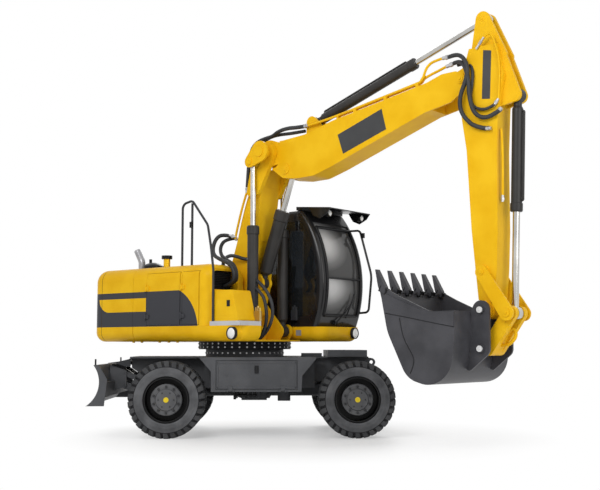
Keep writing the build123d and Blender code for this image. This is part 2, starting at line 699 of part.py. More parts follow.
# Exhaust, air cleaner with its low dome, and the filler with its cap
fittings_y = -800
exhaust_radius = 52
cleaner_x = -1137
filler_x = -845
filler_radius = 50
with BuildPart() as roof_fittings:
    tube([(-1393, fittings_y, hood_top), (-1393, fittings_y, 2530), (-1500, fittings_y, 2700)], exhaust_radius, 130)
    with BuildSketch(upper(fittings_y)) as dome:
        with BuildLine():
            Polyline((cleaner_x, hood_top), (cleaner_x + 155, hood_top), (cleaner_x + 155, hood_top + 45))
            ThreePointArc((cleaner_x + 155, hood_top + 45), (cleaner_x + 85, hood_top + 88), (cleaner_x, hood_top + 100))
            Line((cleaner_x, hood_top + 100), (cleaner_x, hood_top))
        make_face()
    revolve(dome.sketch, axis=Axis(swing + Vector(cleaner_x, fittings_y, 0), (0, 0, 1)))
    disc(upper_level(hood_top + 110), (cleaner_x - 64, fittings_y), 22, 90)
    disc(upper_level(hood_top + 70), (filler_x, fittings_y), filler_radius, 140)
    disc(upper_level(hood_top + 165), (filler_x, fittings_y), 1.6 * filler_radius, 50)
roof_fittings.part.label = "roof_fittings"
export_step(roof_fittings.part, "parts/roof_fittings.step")


# Cab
def cab_face(plane, inset, x_range, z_range):
    """Cab side outline between heights and lengths, its front bowed."""
    with BuildSketch(plane) as outline:
        with Locations((sum(x_range) / 2, sum(z_range) / 2)):
            Rectangle(x_range[1] - x_range[0], z_range[1] - z_range[0])
        with Locations(cab_bow_centre):
            Circle(cab_bow_radius - inset, mode=Mode.INTERSECT)
    return outline.sketch


cab_mid = (cab_right + cab_left) / 2
cab_half = (cab_left - cab_right) / 2
cab_x = (cab_rear, 1500)
glass_y = (cab_right + pillar, cab_left - pillar)
windscreen_z = (1690, 3060)
side_window = (-20, 1400), (1680, 3080)
quarter_window = (cab_rear + pillar, 175), (2150, 3080)
rear_window_z = (2150, 3060)
door_opening = (250, 1400), (1660, 3110)
upper_pane = (340, 1400), (2330, 3030)
lower_pane = (340, 1400), (1760, 2250)
with BuildPart() as cab_shell:
    extrude(cab_face(upper(cab_mid), 0, cab_x, (platform_top, cab_roof)), amount=cab_half, both=True)
    fillet(cab_shell.edges().filter_by(GeomType.CIRCLE), cab_edge_round)
    fillet(cab_shell.faces().sort_by(Axis.Z)[-1].edges(), cab_edge_round - 10)
    extrude(cab_face(upper(cab_mid), cab_wall, (cab_rear + cab_wall, 1500), (cab_floor, cab_roof - cab_wall)),
            amount=cab_half - cab_wall, both=True, mode=Mode.SUBTRACT)
    block(upper_level(windscreen_z[0]), (800, 1500), glass_y, windscreen_z[1] - windscreen_z[0], mode=Mode.SUBTRACT)
    block(upper_level(rear_window_z[0]), (cab_rear - 50, cab_rear + 100), glass_y,
          rear_window_z[1] - rear_window_z[0], mode=Mode.SUBTRACT)
    extrude(cab_face(upper(cab_right), pillar + 30, *side_window), amount=cab_wall + 10, both=True, mode=Mode.SUBTRACT)
    extrude(cab_face(upper(cab_left), pillar, *quarter_window), amount=cab_wall + 10, both=True, mode=Mode.SUBTRACT)
    extrude(cab_face(upper(cab_left), pillar + 15, *door_opening), amount=cab_wall + 10, both=True, mode=Mode.SUBTRACT)
    for z in (door_opening[1][0] + 200, door_opening[1][1] - 200):
        hinge_lugs(upper_level(z), (door_opening[0][0] - hinge_back, cab_left + hinge_out),
                   ((door_opening[0][0] - 30, door_opening[0][0] + 3.5), (cab_left - 1, cab_left + 25)))
    tube([(1045, cab_left - 24, 3000), (1240, cab_left - 24, 2995), (1450, cab_left - 24, 2300),
          (1390, cab_left - 24, 1755), (1215, cab_left - 24, 1745)], rail_radius, [70, 400, 70])
cab_shell.part.label = "cab_shell"
export_step(cab_shell.part, "parts/cab_shell.step")


def inset_pair(pair, inset):
    return (pair[0] + inset, pair[1] - inset)


with BuildPart() as cab_glass:
    extrude(cab_face(upper(cab_mid), 20, (800, 1500), inset_pair(windscreen_z, fit)),
            amount=cab_half - pillar - fit, both=True)
    extrude(cab_face(upper(cab_mid), 20 + glass_thick, (700, 1500), (1500, 3200)), amount=cab_half, both=True,
            mode=Mode.SUBTRACT)
    block(upper_level(rear_window_z[0] + fit), (cab_rear + 20, cab_rear + 20 + glass_thick), inset_pair(glass_y, fit),
          rear_window_z[1] - rear_window_z[0] - 2 * fit)
    extrude(cab_face(upper(cab_right + 20), pillar + 30 + fit, inset_pair(side_window[0], fit),
                     inset_pair(side_window[1], fit)), amount=glass_thick / 2, both=True)
    extrude(cab_face(upper(cab_left - 20), pillar + fit, inset_pair(quarter_window[0], fit),
                     inset_pair(quarter_window[1], fit)), amount=glass_thick / 2, both=True)
cab_glass.part.label = "cab_glass"
export_step(cab_glass.part, "parts/cab_glass.step")

door_swing_gap = 13
with BuildPart() as cab_door:
    extrude(cab_face(upper(cab_left - cab_wall / 2), pillar + 15 + door_swing_gap,
                     (door_opening[0][0] + shut_gap, 1400), inset_pair(door_opening[1], shut_gap)),
            amount=cab_wall / 2, both=True)
    for pane in (upper_pane, lower_pane):
        extrude(cab_face(upper(cab_left - cab_wall / 2), 2 * pillar + 15, *pane), amount=cab_wall, both=True,
                mode=Mode.SUBTRACT)
    for z in (door_opening[1][0] + 200, door_opening[1][1] - 200):
        hinge_knuckle(upper_level(z), (door_opening[0][0] - hinge_back, cab_left + hinge_out),
                      ((door_opening[0][0] + 7, door_opening[0][0] + 60), (cab_left - 1, cab_left + 16)))
cab_door.part.label = "cab_door"
export_step(cab_door.part, "parts/cab_door.step")

with BuildPart() as cab_door_glass:
    for pane_x, pane_z in (upper_pane, lower_pane):
        extrude(cab_face(upper(cab_left - 20), 2 * pillar + 15 + fit, inset_pair(pane_x, fit),
                         inset_pair(pane_z, fit)), amount=glass_thick / 2, both=True)
cab_door_glass.part.label = "cab_door_glass"
export_step(cab_door_glass.part, "parts/cab_door_glass.step")

seat_x = 330
with BuildPart() as controls:
    block(upper_level(cab_floor), (seat_x - 160, seat_x + 160), (cab_mid - 170, cab_mid + 170), 330)
    for side in (-1, 1):
        y = cab_mid + side * 300
        plate(upper(y), [(120, cab_floor + 480), (640, cab_floor + 480), (560, cab_floor + 560),
                         (120, cab_floor + 560)], 110)
        block(upper_level(cab_floor), (180, 320), sorted((y - 50, y + 50)), 490)
        tube([(590, y, cab_floor + 500), (600, y, cab_floor + 760)], 16)
        disc(upper_level(cab_floor + 790), (601, y), 28, 110)
    block(upper_level(cab_floor), (940, 1040), (cab_mid - 50, cab_mid + 50), 30)
    tube([(990, cab_mid, cab_floor + 15), (860, cab_mid, cab_floor + 700)], 40)
    wheel_plane = Plane(swing + Vector(850, cab_mid, cab_floor + 740), z_dir=(-0.35, 0, 1))
    with BuildSketch(wheel_plane) as rim_outline:
        Circle(190)
        Circle(160, mode=Mode.SUBTRACT)
        Rectangle(330, 40)
    extrude(rim_outline.sketch, amount=16, both=True)
    disc(wheel_plane, (0, 0), 45, 90)
controls.part.label = "controls"
export_step(controls.part, "parts/controls.step")

with BuildPart() as seat:
    block(upper_level(cab_floor + 330), (seat_x - 230, seat_x + 250), (cab_mid - 230, cab_mid + 230), 130)
    fillet(seat.edges(), 30)
    plate(upper(cab_mid), [(seat_x - 240, cab_floor + 460 + fit), (seat_x - 120, cab_floor + 460 + fit),
                           (seat_x - 190, cab_floor + 1060), (seat_x - 290, cab_floor + 1060)], 430, radii=35)
seat.part.label = "seat"
export_step(seat.part, "parts/seat.step")

with BuildPart() as visor_guard:
    plate(upper(cab_mid), [(800, cab_roof), (900, cab_roof), (900, visor_rear_z), (visor_tip, visor_tip_z), (visor_tip, visor_tip_z + 14),
                           (800, 3292)], 2 * cab_half - 20)
    for y in (cab_right + 22, cab_left - 22):
        plate(upper(y), [(1030, 3262), (visor_tip, 3223), (visor_tip - 60, 3150), (1230, 3090), (1110, 3140)], 12)
visor_guard.part.label = "visor_guard"
export_step(visor_guard.part, "parts/visor_guard.step")

with BuildPart() as work_lamps:
    disc(upper(-body_half - 15), near_lamp, near_lamp_radius, 30 - 2 * fit)
    disc(upper_cross(cab_base_front + 15), far_lamp, far_lamp_radius, 30 - 2 * fit)
    for y in (cab_right + 120, cab_left - 120):
        disc(upper_cross(visor_tip - 110), (y, 3165), 42, 60)
        block(upper_level(3200), (visor_tip - 125, visor_tip - 95), (y - 15, y + 15),
              visor_tip_z + 95 * visor_slope - fit - 3200)
work_lamps.part.label = "work_lamps"
export_step(work_lamps.part, "parts/work_lamps.step")

# Boom cylinders: name, places, base, tip, barrel length, barrel radius, rod radius, rod tail, has an oil pipe
ram_neck = 130
rams = (("lift", (-lift_y, lift_y), lift_base, lift_tip, 1480, 79, 37, 1000, False),
        ("positioner", (0,), positioner_base, positioner_tip, 1090, 95, 43, 620, False),
        ("stick_ram", (0,), stick_ram_base, stick_ram_tip, 1760, 68, 37, 1250, True),
        ("bucket_ram", (0,), bucket_ram_base, tipping_low, 1410, 67, 43, 1100, True))
for name, places, base, tip, barrel_length, barrel_radius, rod_radius, tail, piped in rams:
    with BuildPart() as barrel:
        for y in places:
            ram_barrel(ram_line(boom(y), base, tip), barrel_length, barrel_radius, rod_radius, ram_neck,
                       eye_half, pin_radius, piped)
    barrel.part.label = name + "_barrel"
    export_step(barrel.part, "parts/" + name + "_barrel.step")
    with BuildPart() as rod:
        for y in places:
            ram_rod(ram_line(boom(y), base, tip), span(base, tip), rod_radius, tail, eye_half, pin_radius)
    rod.part.label = name + "_rod"
    export_step(rod.part, "parts/" + name + "_rod.step")

# Lower boom: box, foot, head cheeks and outer ears
head_clear = 226
ear_gap = eye_half + 8
cheek_thick = 70
cheek_y = lower_boom_half + cheek_thick / 2
outer_ear_y = lift_y + ear_gap + 15
with BuildPart() as lower_boom:
    plate(boom(), [(246, 1787), (216, 2080), (143, 2422), (392, 3155), (549, 3546), (656, 3770), (783, 3770),
                    (724, 3507), (656, 3014), (597, 2569), (578, 2276), (558, 2080), (470, 1768)],
          2 * lower_boom_half, radii=[0, 0, 120, 0, 0, 0, 0, 0, 0, 0, 0, 0, 0])
    disc(boom(), boom_foot, 118, 2 * tower_y - tower_thick - 4)
    disc(boom(), boom_head, head_clear, 3 * lower_boom_half, mode=Mode.SUBTRACT)
    for side in (-1, 1):
        link(boom(side * cheek_y), [(*boom_head, 150), (*lift_tip, 85), (558, 3448, 60), (666, 3448, 60)], cheek_thick)
        link(boom(side * outer_ear_y), [(*boom_head, 150), (*lift_tip, 85)], 30)
        link(boom(side * (ear_gap + ear_thick / 2)), [(*positioner_base, 95), (470, 2373, 60), (480, 2032, 60)],
             ear_thick)
        disc(boom(side * (outer_ear_y + 20)), lift_tip, 50, 24)
    disc(boom(), positioner_base, pin_radius + 60, 2 * ear_gap, mode=Mode.SUBTRACT)
    plate(boom(), [(573, 2373), (744, 2471), (744, 2149), (573, 2080), (510, 2090), (529, 2276)], 2 * ear_gap,
          mode=Mode.SUBTRACT)
    plate(boom(), [(492, 2272), (783, 2272), (783, 2754), (611, 2754)], 2 * 112, mode=Mode.SUBTRACT)
    disc(boom(), positioner_base, pin_radius, 2 * ear_gap + 2 * ear_thick)
    disc(boom(), boom_head, 75, 2 * outer_ear_y + 60)
    disc(boom(), boom_foot, pin_radius + pin_fit, 600, mode=Mode.SUBTRACT)
lower_boom.part.label = "lower_boom"
export_step(lower_boom.part, "parts/lower_boom.step")

# Upper boom
fork_half = dipper_half + 6
rod_eye_room = 130
rod_room = 92
with BuildPart() as upper_boom:
    plate(boom(), [(920, 4132), (1115, 4137), (1506, 4171), (1994, 4298), (3489, 4572), (3714, 4645), (3909, 4650),
                    (4026, 4611), (4051, 4523), (3978, 4357), (3841, 4269), (3460, 4192), (1975, 3673),
                    (1653, 3577), (1350, 3570), (1105, 3604), (920, 3741)],
          2 * upper_boom_half, radii=[0, 0, 0, 400, 0, 150, 60, 60, 60, 60, 150, 0, 500, 300, 300, 60, 0])
    disc(boom(), boom_head, 240, 3 * upper_boom_half, mode=Mode.SUBTRACT)
    link(boom(), [(*boom_head, 190), (1174, 4015, 60), (1174, 3888, 60)], 2 * upper_boom_half)
    disc(boom(), boom_head, 75 + pin_fit, 3 * upper_boom_half, mode=Mode.SUBTRACT)
    # Slot for the positioner's rod, whose line swings as the boom folds and opens
    disc(boom(), positioner_tip, rod_eye_room, 2 * ear_gap, mode=Mode.SUBTRACT)
    link(boom(), [(*positioner_tip, rod_room), (801, 3554, rod_room), (1140, 3373, rod_room)], 2 * ear_gap,
         mode=Mode.SUBTRACT)
    disc(boom(), dipper_pivot, 350, 2 * fork_half, mode=Mode.SUBTRACT)
    plate(boom(), [(3983, 4620), (3983, 4132), (3557, 4132), (3557, 4347), (3753, 4620)], 2 * fork_half,
          mode=Mode.SUBTRACT)
    disc(boom(), dipper_pivot, pin_radius + 15, 2 * upper_boom_half + 30)
    for side in (-1, 1):
        link(boom(side * (ear_gap + ear_thick / 2)), [(*stick_ram_base, 85), (1506, 4132, 40), (1760, 4191, 40)],
             ear_thick)
        disc(boom(side * (upper_boom_half + 8)), positioner_tip, 70, 20)
    disc(boom(), stick_ram_base, pin_radius, 2 * ear_gap + 2 * ear_thick)
upper_boom.part.label = "upper_boom"
export_step(upper_boom.part, "parts/upper_boom.step")

# Oil pipes along the upper boom's back, clamped to it
back_start = (1994, 4298)
back_end = (3489, 4572)
boom_pipe_rise = 55
boom_pipe_y = (108, 150)
with BuildPart() as boom_pipes:
    back = ram_line(boom(), back_start, back_end)
    back_length = span(back_start, back_end)
    for y in boom_pipe_y:
        tube([(60, 0, y), (60, boom_pipe_rise, y), (back_length - 110, boom_pipe_rise, y), (back_length - 30, 120, y)],
             boom_pipe_radius, [30, 60], back)
    for x in (0.22, 0.55, 0.88):
        plate(back.offset(sum(boom_pipe_y) / 2), [(x * back_length, 0), (x * back_length + 46, 0),
                                                  (x * back_length + 46, boom_pipe_rise + 8),
                                                  (x * back_length, boom_pipe_rise + 8)], 70)
boom_pipes.part.label = "boom_pipes"
export_step(boom_pipes.part, "parts/boom_pipes.step")

# Dipper
boss_half = 256
with BuildPart() as dipper:
    plate(boom(), [(4090, 4904), (4017, 4679), (3974, 4053), (4036, 3643), (4087, 2653), (4167, 1802), (4378, 1768),
                    (4415, 2152), (4439, 2628), (4446, 3594), (4476, 4132), (4554, 4523), (4466, 4913)],
          2 * dipper_half, radii=[0, 0, 60, 300, 0, 0, 0, 0, 0, 0, 200, 0, 0])
    link(boom(), [(*dipper_pivot, 118), (4105, 4620, 100), (4105, 4425, 100)], 2 * dipper_half)
    disc(boom(), bucket_pivot, 88, 2 * boss_half)
    disc(boom(), bucket_pivot, 105, 2 * dipper_half)
    for side in (-1, 1):
        link(boom(side * (ear_gap + ear_thick / 2)), [(*stick_ram_tip, 92), (4134, 4777, 60), (4515, 4777, 60)],
             ear_thick)
        link(boom(side * (ear_gap + ear_thick / 2)), [(*bucket_ram_base, 85), (4486, 4181, 40), (4515, 4796, 40)],
             ear_thick)
        disc(boom(side * (dipper_half + 3)), tipping_top, 78, 30)
    plate(boom(), [(4564, 4425), (4730, 4425), (4730, 4083), (4534, 4083)], 2 * ear_gap, mode=Mode.SUBTRACT)
    disc(boom(), bucket_ram_base, pin_radius, 2 * ear_gap + 2 * ear_thick)
    disc(boom(), tipping_top, pin_radius, 2 * 236)
    disc(boom(), dipper_pivot, pin_radius + 15 + pin_fit, 600, mode=Mode.SUBTRACT)
    disc(boom(), bucket_pivot, pin_radius + pin_fit, 600, mode=Mode.SUBTRACT)
dipper.part.label = "dipper"
export_step(dipper.part, "parts/dipper.step")

# Bucket linkage
tipping_y = 218
tipping_thick = 30
with BuildPart() as tipping_links:
    for side in (-1, 1):
        link(boom(side * tipping_y), [(*tipping_top, 78), (*tipping_low, 92)], tipping_thick)
        disc(boom(side * 148), tipping_low, pin_radius, 170)
    disc(boom(), tipping_top, pin_radius + pin_fit, 600, mode=Mode.SUBTRACT)
tipping_links.part.label = "tipping_links"
export_step(tipping_links.part, "parts/tipping_links.step")

with BuildPart() as bucket_link:
    for side in (-1, 1):
        link(boom(side * 115), [(*tipping_low, 88), (*bucket_link_pin, 84)], 80)
    link(boom(), [(4407, 1426, 50), (*bucket_link_pin, 84)], 200)
    disc(boom(), tipping_low, pin_radius + pin_fit, 600, mode=Mode.SUBTRACT)
bucket_link.part.label = "bucket_link"
export_step(bucket_link.part, "parts/bucket_link.step")

# Bucket
bucket_skin = 25
bucket_corners = [(3093, 1944), (3196, 1426), (3474, 864), (3787, 776), (4070, 908), (4129, 1299), (4139, 1665),
                  (3802, 1662), (3372, 1854), (3196, 1944)]
bucket_rounds = [0, 600, 300, 330, 330, 300, 0, 300, 300, 0]
bucket_ear_y = 285
with BuildPart() as bucket:
    plate(boom(), bucket_corners, 2 * bucket_half, radii=bucket_rounds)
    for lift in (0, 90):
        with BuildSketch(boom()) as cavity:
            with BuildLine():
                FilletPolyline(*bucket_corners, radius=bucket_rounds, close=True)
            make_face()
            offset(amount=-bucket_skin, mode=Mode.REPLACE)
        hollow = cavity.sketch.moved(Location((0, 0, lift)))
        extrude(hollow, amount=bucket_half - bucket_skin, both=True, mode=Mode.SUBTRACT)
    for y in (-bucket_ear_y, bucket_ear_y):
        link(boom(y), [(*bucket_pivot, 112), (*bucket_link_pin, 108), (4153, 1553, 60), (4105, 1006, 45)], 30)
        disc(boom(y), bucket_link_pin, pin_radius, 110)
    disc(boom(), bucket_pivot, pin_radius, 2 * bucket_ear_y + 90)
    for index in range(6):
        tooth_y = (index - 2.5) * 264
        plate(boom(tooth_y), [(3093, 1919), (3176, 1885), (3176, 1973), (3054, 2193), (3030, 2193), (3069, 1992)], 70)
bucket.part.label = "bucket"
export_step(bucket.part, "parts/bucket.step")
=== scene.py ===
import math

import bmesh
import bpy
from mathutils import Matrix, Vector


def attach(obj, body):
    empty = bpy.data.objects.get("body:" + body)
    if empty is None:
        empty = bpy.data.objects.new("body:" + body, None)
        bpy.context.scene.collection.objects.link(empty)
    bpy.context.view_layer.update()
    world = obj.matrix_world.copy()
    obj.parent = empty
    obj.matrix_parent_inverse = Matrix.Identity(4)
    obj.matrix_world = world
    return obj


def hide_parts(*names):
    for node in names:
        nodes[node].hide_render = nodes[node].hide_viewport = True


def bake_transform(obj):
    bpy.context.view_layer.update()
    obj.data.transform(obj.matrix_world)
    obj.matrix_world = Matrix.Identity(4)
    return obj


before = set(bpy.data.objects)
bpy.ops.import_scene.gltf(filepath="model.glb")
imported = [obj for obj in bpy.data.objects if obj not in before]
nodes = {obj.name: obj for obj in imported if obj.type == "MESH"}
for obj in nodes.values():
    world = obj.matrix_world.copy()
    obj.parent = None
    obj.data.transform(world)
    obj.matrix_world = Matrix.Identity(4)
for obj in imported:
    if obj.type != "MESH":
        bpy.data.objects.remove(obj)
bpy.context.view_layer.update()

# Shared places, in metres
SWING = Vector((-1.165, 0, 0))
SLEW = math.radians(41)
AHEAD = Vector((math.cos(SLEW), math.sin(SLEW), 0))
LEFT = Vector((-math.sin(SLEW), math.cos(SLEW), 0))
UP = Vector((0, 0, 1))
BOOM_Y = -0.26


def upper(x, y, z):
    """Place on the upper machine: forward of the swing axis, to its left, height."""
    return SWING + Vector((x, y, z))


def boom(x, z, y=0):
    """Place on the boom: forward of the swing axis, height, to the left of its centre plane."""
    return SWING + Vector((x, BOOM_Y + y, z))


def chassis(x, y, z):
    """Place on the undercarriage, which stands turned under the upper machine."""
    return SWING + AHEAD * x + LEFT * y + UP * z


# Camera, solved from the photograph
CAMERA_PLACE = Vector((10.224, -11.255, 1.252))
CAMERA_YAW = 0.0321
CAMERA_PITCH = 0.099
FOCAL_PX = 1017.33
PHOTO_WIDTH = 600


def add_camera():
    data = bpy.data.cameras.new("camera")
    data.sensor_width = 36
    data.lens = FOCAL_PX / PHOTO_WIDTH * data.sensor_width
    data.clip_end = 200
    camera = bpy.data.objects.new("camera", data)
    bpy.context.scene.collection.objects.link(camera)
    turn = Matrix.Rotation(SLEW, 3, "Z")
    flat = math.cos(CAMERA_PITCH)
    forward = turn @ Vector((math.sin(CAMERA_YAW) * flat, math.cos(CAMERA_YAW) * flat,
                             math.sin(CAMERA_PITCH)))
    right = turn @ Vector((math.cos(CAMERA_YAW), -math.sin(CAMERA_YAW), 0))
    above = right.cross(forward)
    facing = Matrix((right, above, -forward)).transposed()
    camera.matrix_world = Matrix.Translation(SWING + CAMERA_PLACE) @ facing.to_4x4()
    bpy.context.scene.camera = camera


# Materials
def link(tree, source, target):
    tree.links.new(source, target)


def surface(name, dark, light, rough, metallic=0.0, coat=0.0, blotch=3.0, grain=60.0, bump=0.02, spread=0.12,
            shine=0.25):
    """Principled surface whose colour and roughness wander between two near values."""
    material = bpy.data.materials.new(name)
    material.use_nodes = True
    tree = material.node_tree
    shader = tree.nodes["Principled BSDF"]
    shader.inputs["Metallic"].default_value = metallic
    shader.inputs["Coat Weight"].default_value = coat
    shader.inputs["Specular IOR Level"].default_value = shine
    shader.inputs["Coat Roughness"].default_value = 0.08
    place = tree.nodes.new("ShaderNodeTexCoord")
    wide = tree.nodes.new("ShaderNodeTexNoise")
    wide.inputs["Scale"].default_value = blotch
    wide.inputs["Detail"].default_value = 4
    link(tree, place.outputs["Object"], wide.inputs["Vector"])
    ramp = tree.nodes.new("ShaderNodeValToRGB")
    ramp.color_ramp.elements[0].position = 0.35
    ramp.color_ramp.elements[0].color = (*dark, 1)
    ramp.color_ramp.elements[1].position = 0.65
    ramp.color_ramp.elements[1].color = (*light, 1)
    link(tree, wide.outputs["Fac"], ramp.inputs["Fac"])
    link(tree, ramp.outputs["Color"], shader.inputs["Base Color"])
    fine = tree.nodes.new("ShaderNodeTexNoise")
    fine.inputs["Scale"].default_value = grain
    fine.inputs["Detail"].default_value = 3
    link(tree, place.outputs["Object"], fine.inputs["Vector"])
    span = tree.nodes.new("ShaderNodeMapRange")
    span.inputs["To Min"].default_value = max(rough - spread, 0.02)
    span.inputs["To Max"].default_value = min(rough + spread, 1.0)
    link(tree, wide.outputs["Fac"], span.inputs["Value"])
    link(tree, span.outputs["Result"], shader.inputs["Roughness"])
    if bump:
        relief = tree.nodes.new("ShaderNodeBump")
        relief.inputs["Strength"].default_value = bump
        relief.inputs["Distance"].default_value = 0.01
        link(tree, fine.outputs["Fac"], relief.inputs["Height"])
        link(tree, relief.outputs["Normal"], shader.inputs["Normal"])
    return material


def glass(name, tint, roughness):
    material = surface(name, tint, tint, roughness, blotch=2, bump=0, spread=0.01)
    shader = material.node_tree.nodes["Principled BSDF"]
    shader.inputs["Transmission Weight"].default_value = 0.9
    shader.inputs["IOR"].default_value = 1.45
    return material


DEEP_BLACK, SOFT_BLACK, WORN_BLACK = (0.007, 0.007, 0.008), (0.012, 0.012, 0.013), (0.04, 0.041, 0.043)
WINDOW_TINT = (0.1, 0.11, 0.12)
YELLOW_DARK = (0.76, 0.42, 0.006)
YELLOW_LIGHT = (0.83, 0.495, 0.013)
YELLOW_FINISH = {"rough": 0.38, "coat": 0.02, "bump": 0.015, "shine": 0.07}
YELLOW = surface("yellow_paint", YELLOW_DARK, YELLOW_LIGHT, **YELLOW_FINISH)
DARK = surface("dark_paint", (0.022, 0.023, 0.026), (0.034, 0.036, 0.04), 0.48, bump=0.04)
CHARCOAL = surface("charcoal_paint", (0.055, 0.057, 0.062), (0.078, 0.08, 0.086), 0.5, bump=0.05)
BLACK = surface("black_trim", (0.006, 0.006, 0.007), (0.01, 0.01, 0.011), 0.5, bump=0.03)
CAB = surface("cab_paint", DEEP_BLACK, SOFT_BLACK, 0.3, coat=0.25, bump=0.015)
TYRE_BLOCK = surface("tyre_blocks", WORN_BLACK, (0.07, 0.071, 0.074), 0.8, bump=0.15, grain=120, shine=0.15)
BARREL = surface("barrel_paint", (0.022, 0.021, 0.02), (0.034, 0.032, 0.03), 0.42, bump=0.03)
RUBBER = surface("hose_rubber", (0.022, 0.023, 0.025), (0.04, 0.042, 0.045), 0.5, bump=0.05, grain=200)
BRASS = surface("brass_fitting", (0.45, 0.33, 0.12), (0.6, 0.46, 0.2), 0.35, metallic=0.9, bump=0.05)
CHROME = surface("chrome_rod", (0.42, 0.41, 0.39), (0.58, 0.57, 0.54), 0.16, metallic=1.0, bump=0,
                 spread=0.04)
STEEL = surface("bright_steel", (0.42, 0.42, 0.43), (0.55, 0.55, 0.56), 0.38, metallic=0.9, bump=0.05)
PIN = surface("bare_pin", (0.6, 0.6, 0.6), (0.75, 0.75, 0.75), 0.35, bump=0.03)
BUCKET = surface("bucket_paint", (0.038, 0.038, 0.043), (0.06, 0.06, 0.067), 0.42, bump=0.04)
WINDOW = glass("cab_window", WINDOW_TINT, 0.02)
SEAT = surface("seat_cloth", (0.03, 0.03, 0.033), (0.05, 0.05, 0.055), 0.9, bump=0.3, grain=400)
LAMP = surface("lamp_lens", (0.7, 0.7, 0.68), (0.85, 0.85, 0.83), 0.12, coat=0.6, bump=0.02)
PANEL = surface("bare_panel", WORN_BLACK, (0.052, 0.053, 0.055), 0.4, bump=0.02)
REFLECTOR = surface("reflector", (0.24, 0.24, 0.25), (0.34, 0.34, 0.35), 0.25, coat=0.4, bump=0.08, grain=300)

NODE_MATERIALS = {
    "yellow": (YELLOW, ("lower_boom", "upper_boom", "dipper", "front_box", "tipping_links", "bucket_link",
                        "boom_pipes")),
    "charcoal": (CHARCOAL, ("chassis_frame", "side_boxes", "side_box_door_left", "side_box_door_right",
                            "blade_arms", "blade_links", "dozer_blade", "front_axle", "rear_axle",
                            "knuckle_left",
                            "knuckle_right", "drive_line", "slew_ring", "blade_barrels")),
    "dark": (DARK, ("engine_bonnet", "handrails", "engine_block")),
    "cab": (CAB, ("visor_guard", "cab_shell", "cab_door")),
    "barrel": (BARREL, ("lift_barrel", "positioner_barrel", "stick_ram_barrel", "bucket_ram_barrel")),
    "bucket": (BUCKET, ("bucket",)),
    "chrome": (CHROME, ("blade_rods", "lift_rod", "positioner_rod", "stick_ram_rod", "bucket_ram_rod")),
    "tyre": (TYRE_BLOCK, ("tyres_rear_left", "tyres_rear_right", "tyres_front_left", "tyres_front_right")),
    "glass": (WINDOW, ("cab_door_glass",)),
    "steel": (STEEL, ("tread_plate",)),
    "black": (BLACK, ("controls",)),
    "seat": (SEAT, ("seat",)),
    "lamp": (LAMP, ("work_lamps",)),
}


def dress_nodes():
    for material, names in NODE_MATERIALS.values():
        for name in names:
            data = nodes[name].data
            data.materials.clear()
            data.materials.append(material)


# Second colours, by place
def part_of(tree, value, low, high):
    """One where the value lies between the two limits."""
    over = tree.nodes.new("ShaderNodeMath")
    over.operation = "GREATER_THAN"
    over.inputs[1].default_value = low
    link(tree, value, over.inputs[0])
    under = tree.nodes.new("ShaderNodeMath")
    under.operation = "LESS_THAN"
    under.inputs[1].default_value = high
    link(tree, value, under.inputs[0])
    return product(tree, over.outputs["Value"], under.outputs["Value"])


def combine(tree, first, second, operation):
    node = tree.nodes.new("ShaderNodeMath")
    node.operation = operation
    link(tree, first, node.inputs[0])
    link(tree, second, node.inputs[1])
    return node.outputs["Value"]


def product(tree, first, second):
    return combine(tree, first, second, "MULTIPLY")


def distance_from(tree, place, centre, stretch):
    """Distance from a line along the machine's width, each direction divided by its stretch."""
    shift = tree.nodes.new("ShaderNodeVectorMath")
    shift.operation = "SUBTRACT"
    shift.inputs[1].default_value = centre
    link(tree, place, shift.inputs[0])
    scale = tree.nodes.new("ShaderNodeVectorMath")
    scale.operation = "DIVIDE"
    scale.inputs[1].default_value = stretch
    link(tree, shift.outputs["Vector"], scale.inputs[0])
    length = tree.nodes.new("ShaderNodeVectorMath")
    length.operation = "LENGTH"
    link(tree, scale.outputs["Vector"], length.inputs[0])
    return length.outputs["Value"]


def paint_over(material, mask, colour):
    """Puts a second colour on the material where the mask is one."""
    tree = material.node_tree
    shader = tree.nodes["Principled BSDF"]
    under = shader.inputs["Base Color"].links[0].from_socket
    mix = tree.nodes.new("ShaderNodeMix")
    mix.data_type = "RGBA"
    mix.inputs[7].default_value = (*colour, 1)
    link(tree, mask, mix.inputs["Factor"])
    link(tree, under, mix.inputs[6])
    link(tree, mix.outputs[2], shader.inputs["Base Color"])


# Floor, backdrop and light
def seen_rays(tree):
    """One for a ray of the camera or of a mirror or window, zero for light on its way."""
    rays = tree.nodes.new("ShaderNodeLightPath")
    white = rays.outputs["Is Camera Ray"]
    for kind in ("Is Glossy Ray", "Is Transmission Ray"):
        both = tree.nodes.new("ShaderNodeMath")
        both.operation = "MAXIMUM"
        link(tree, white, both.inputs[0])
        link(tree, rays.outputs[kind], both.inputs[1])
        white = both.outputs["Value"]
    return white


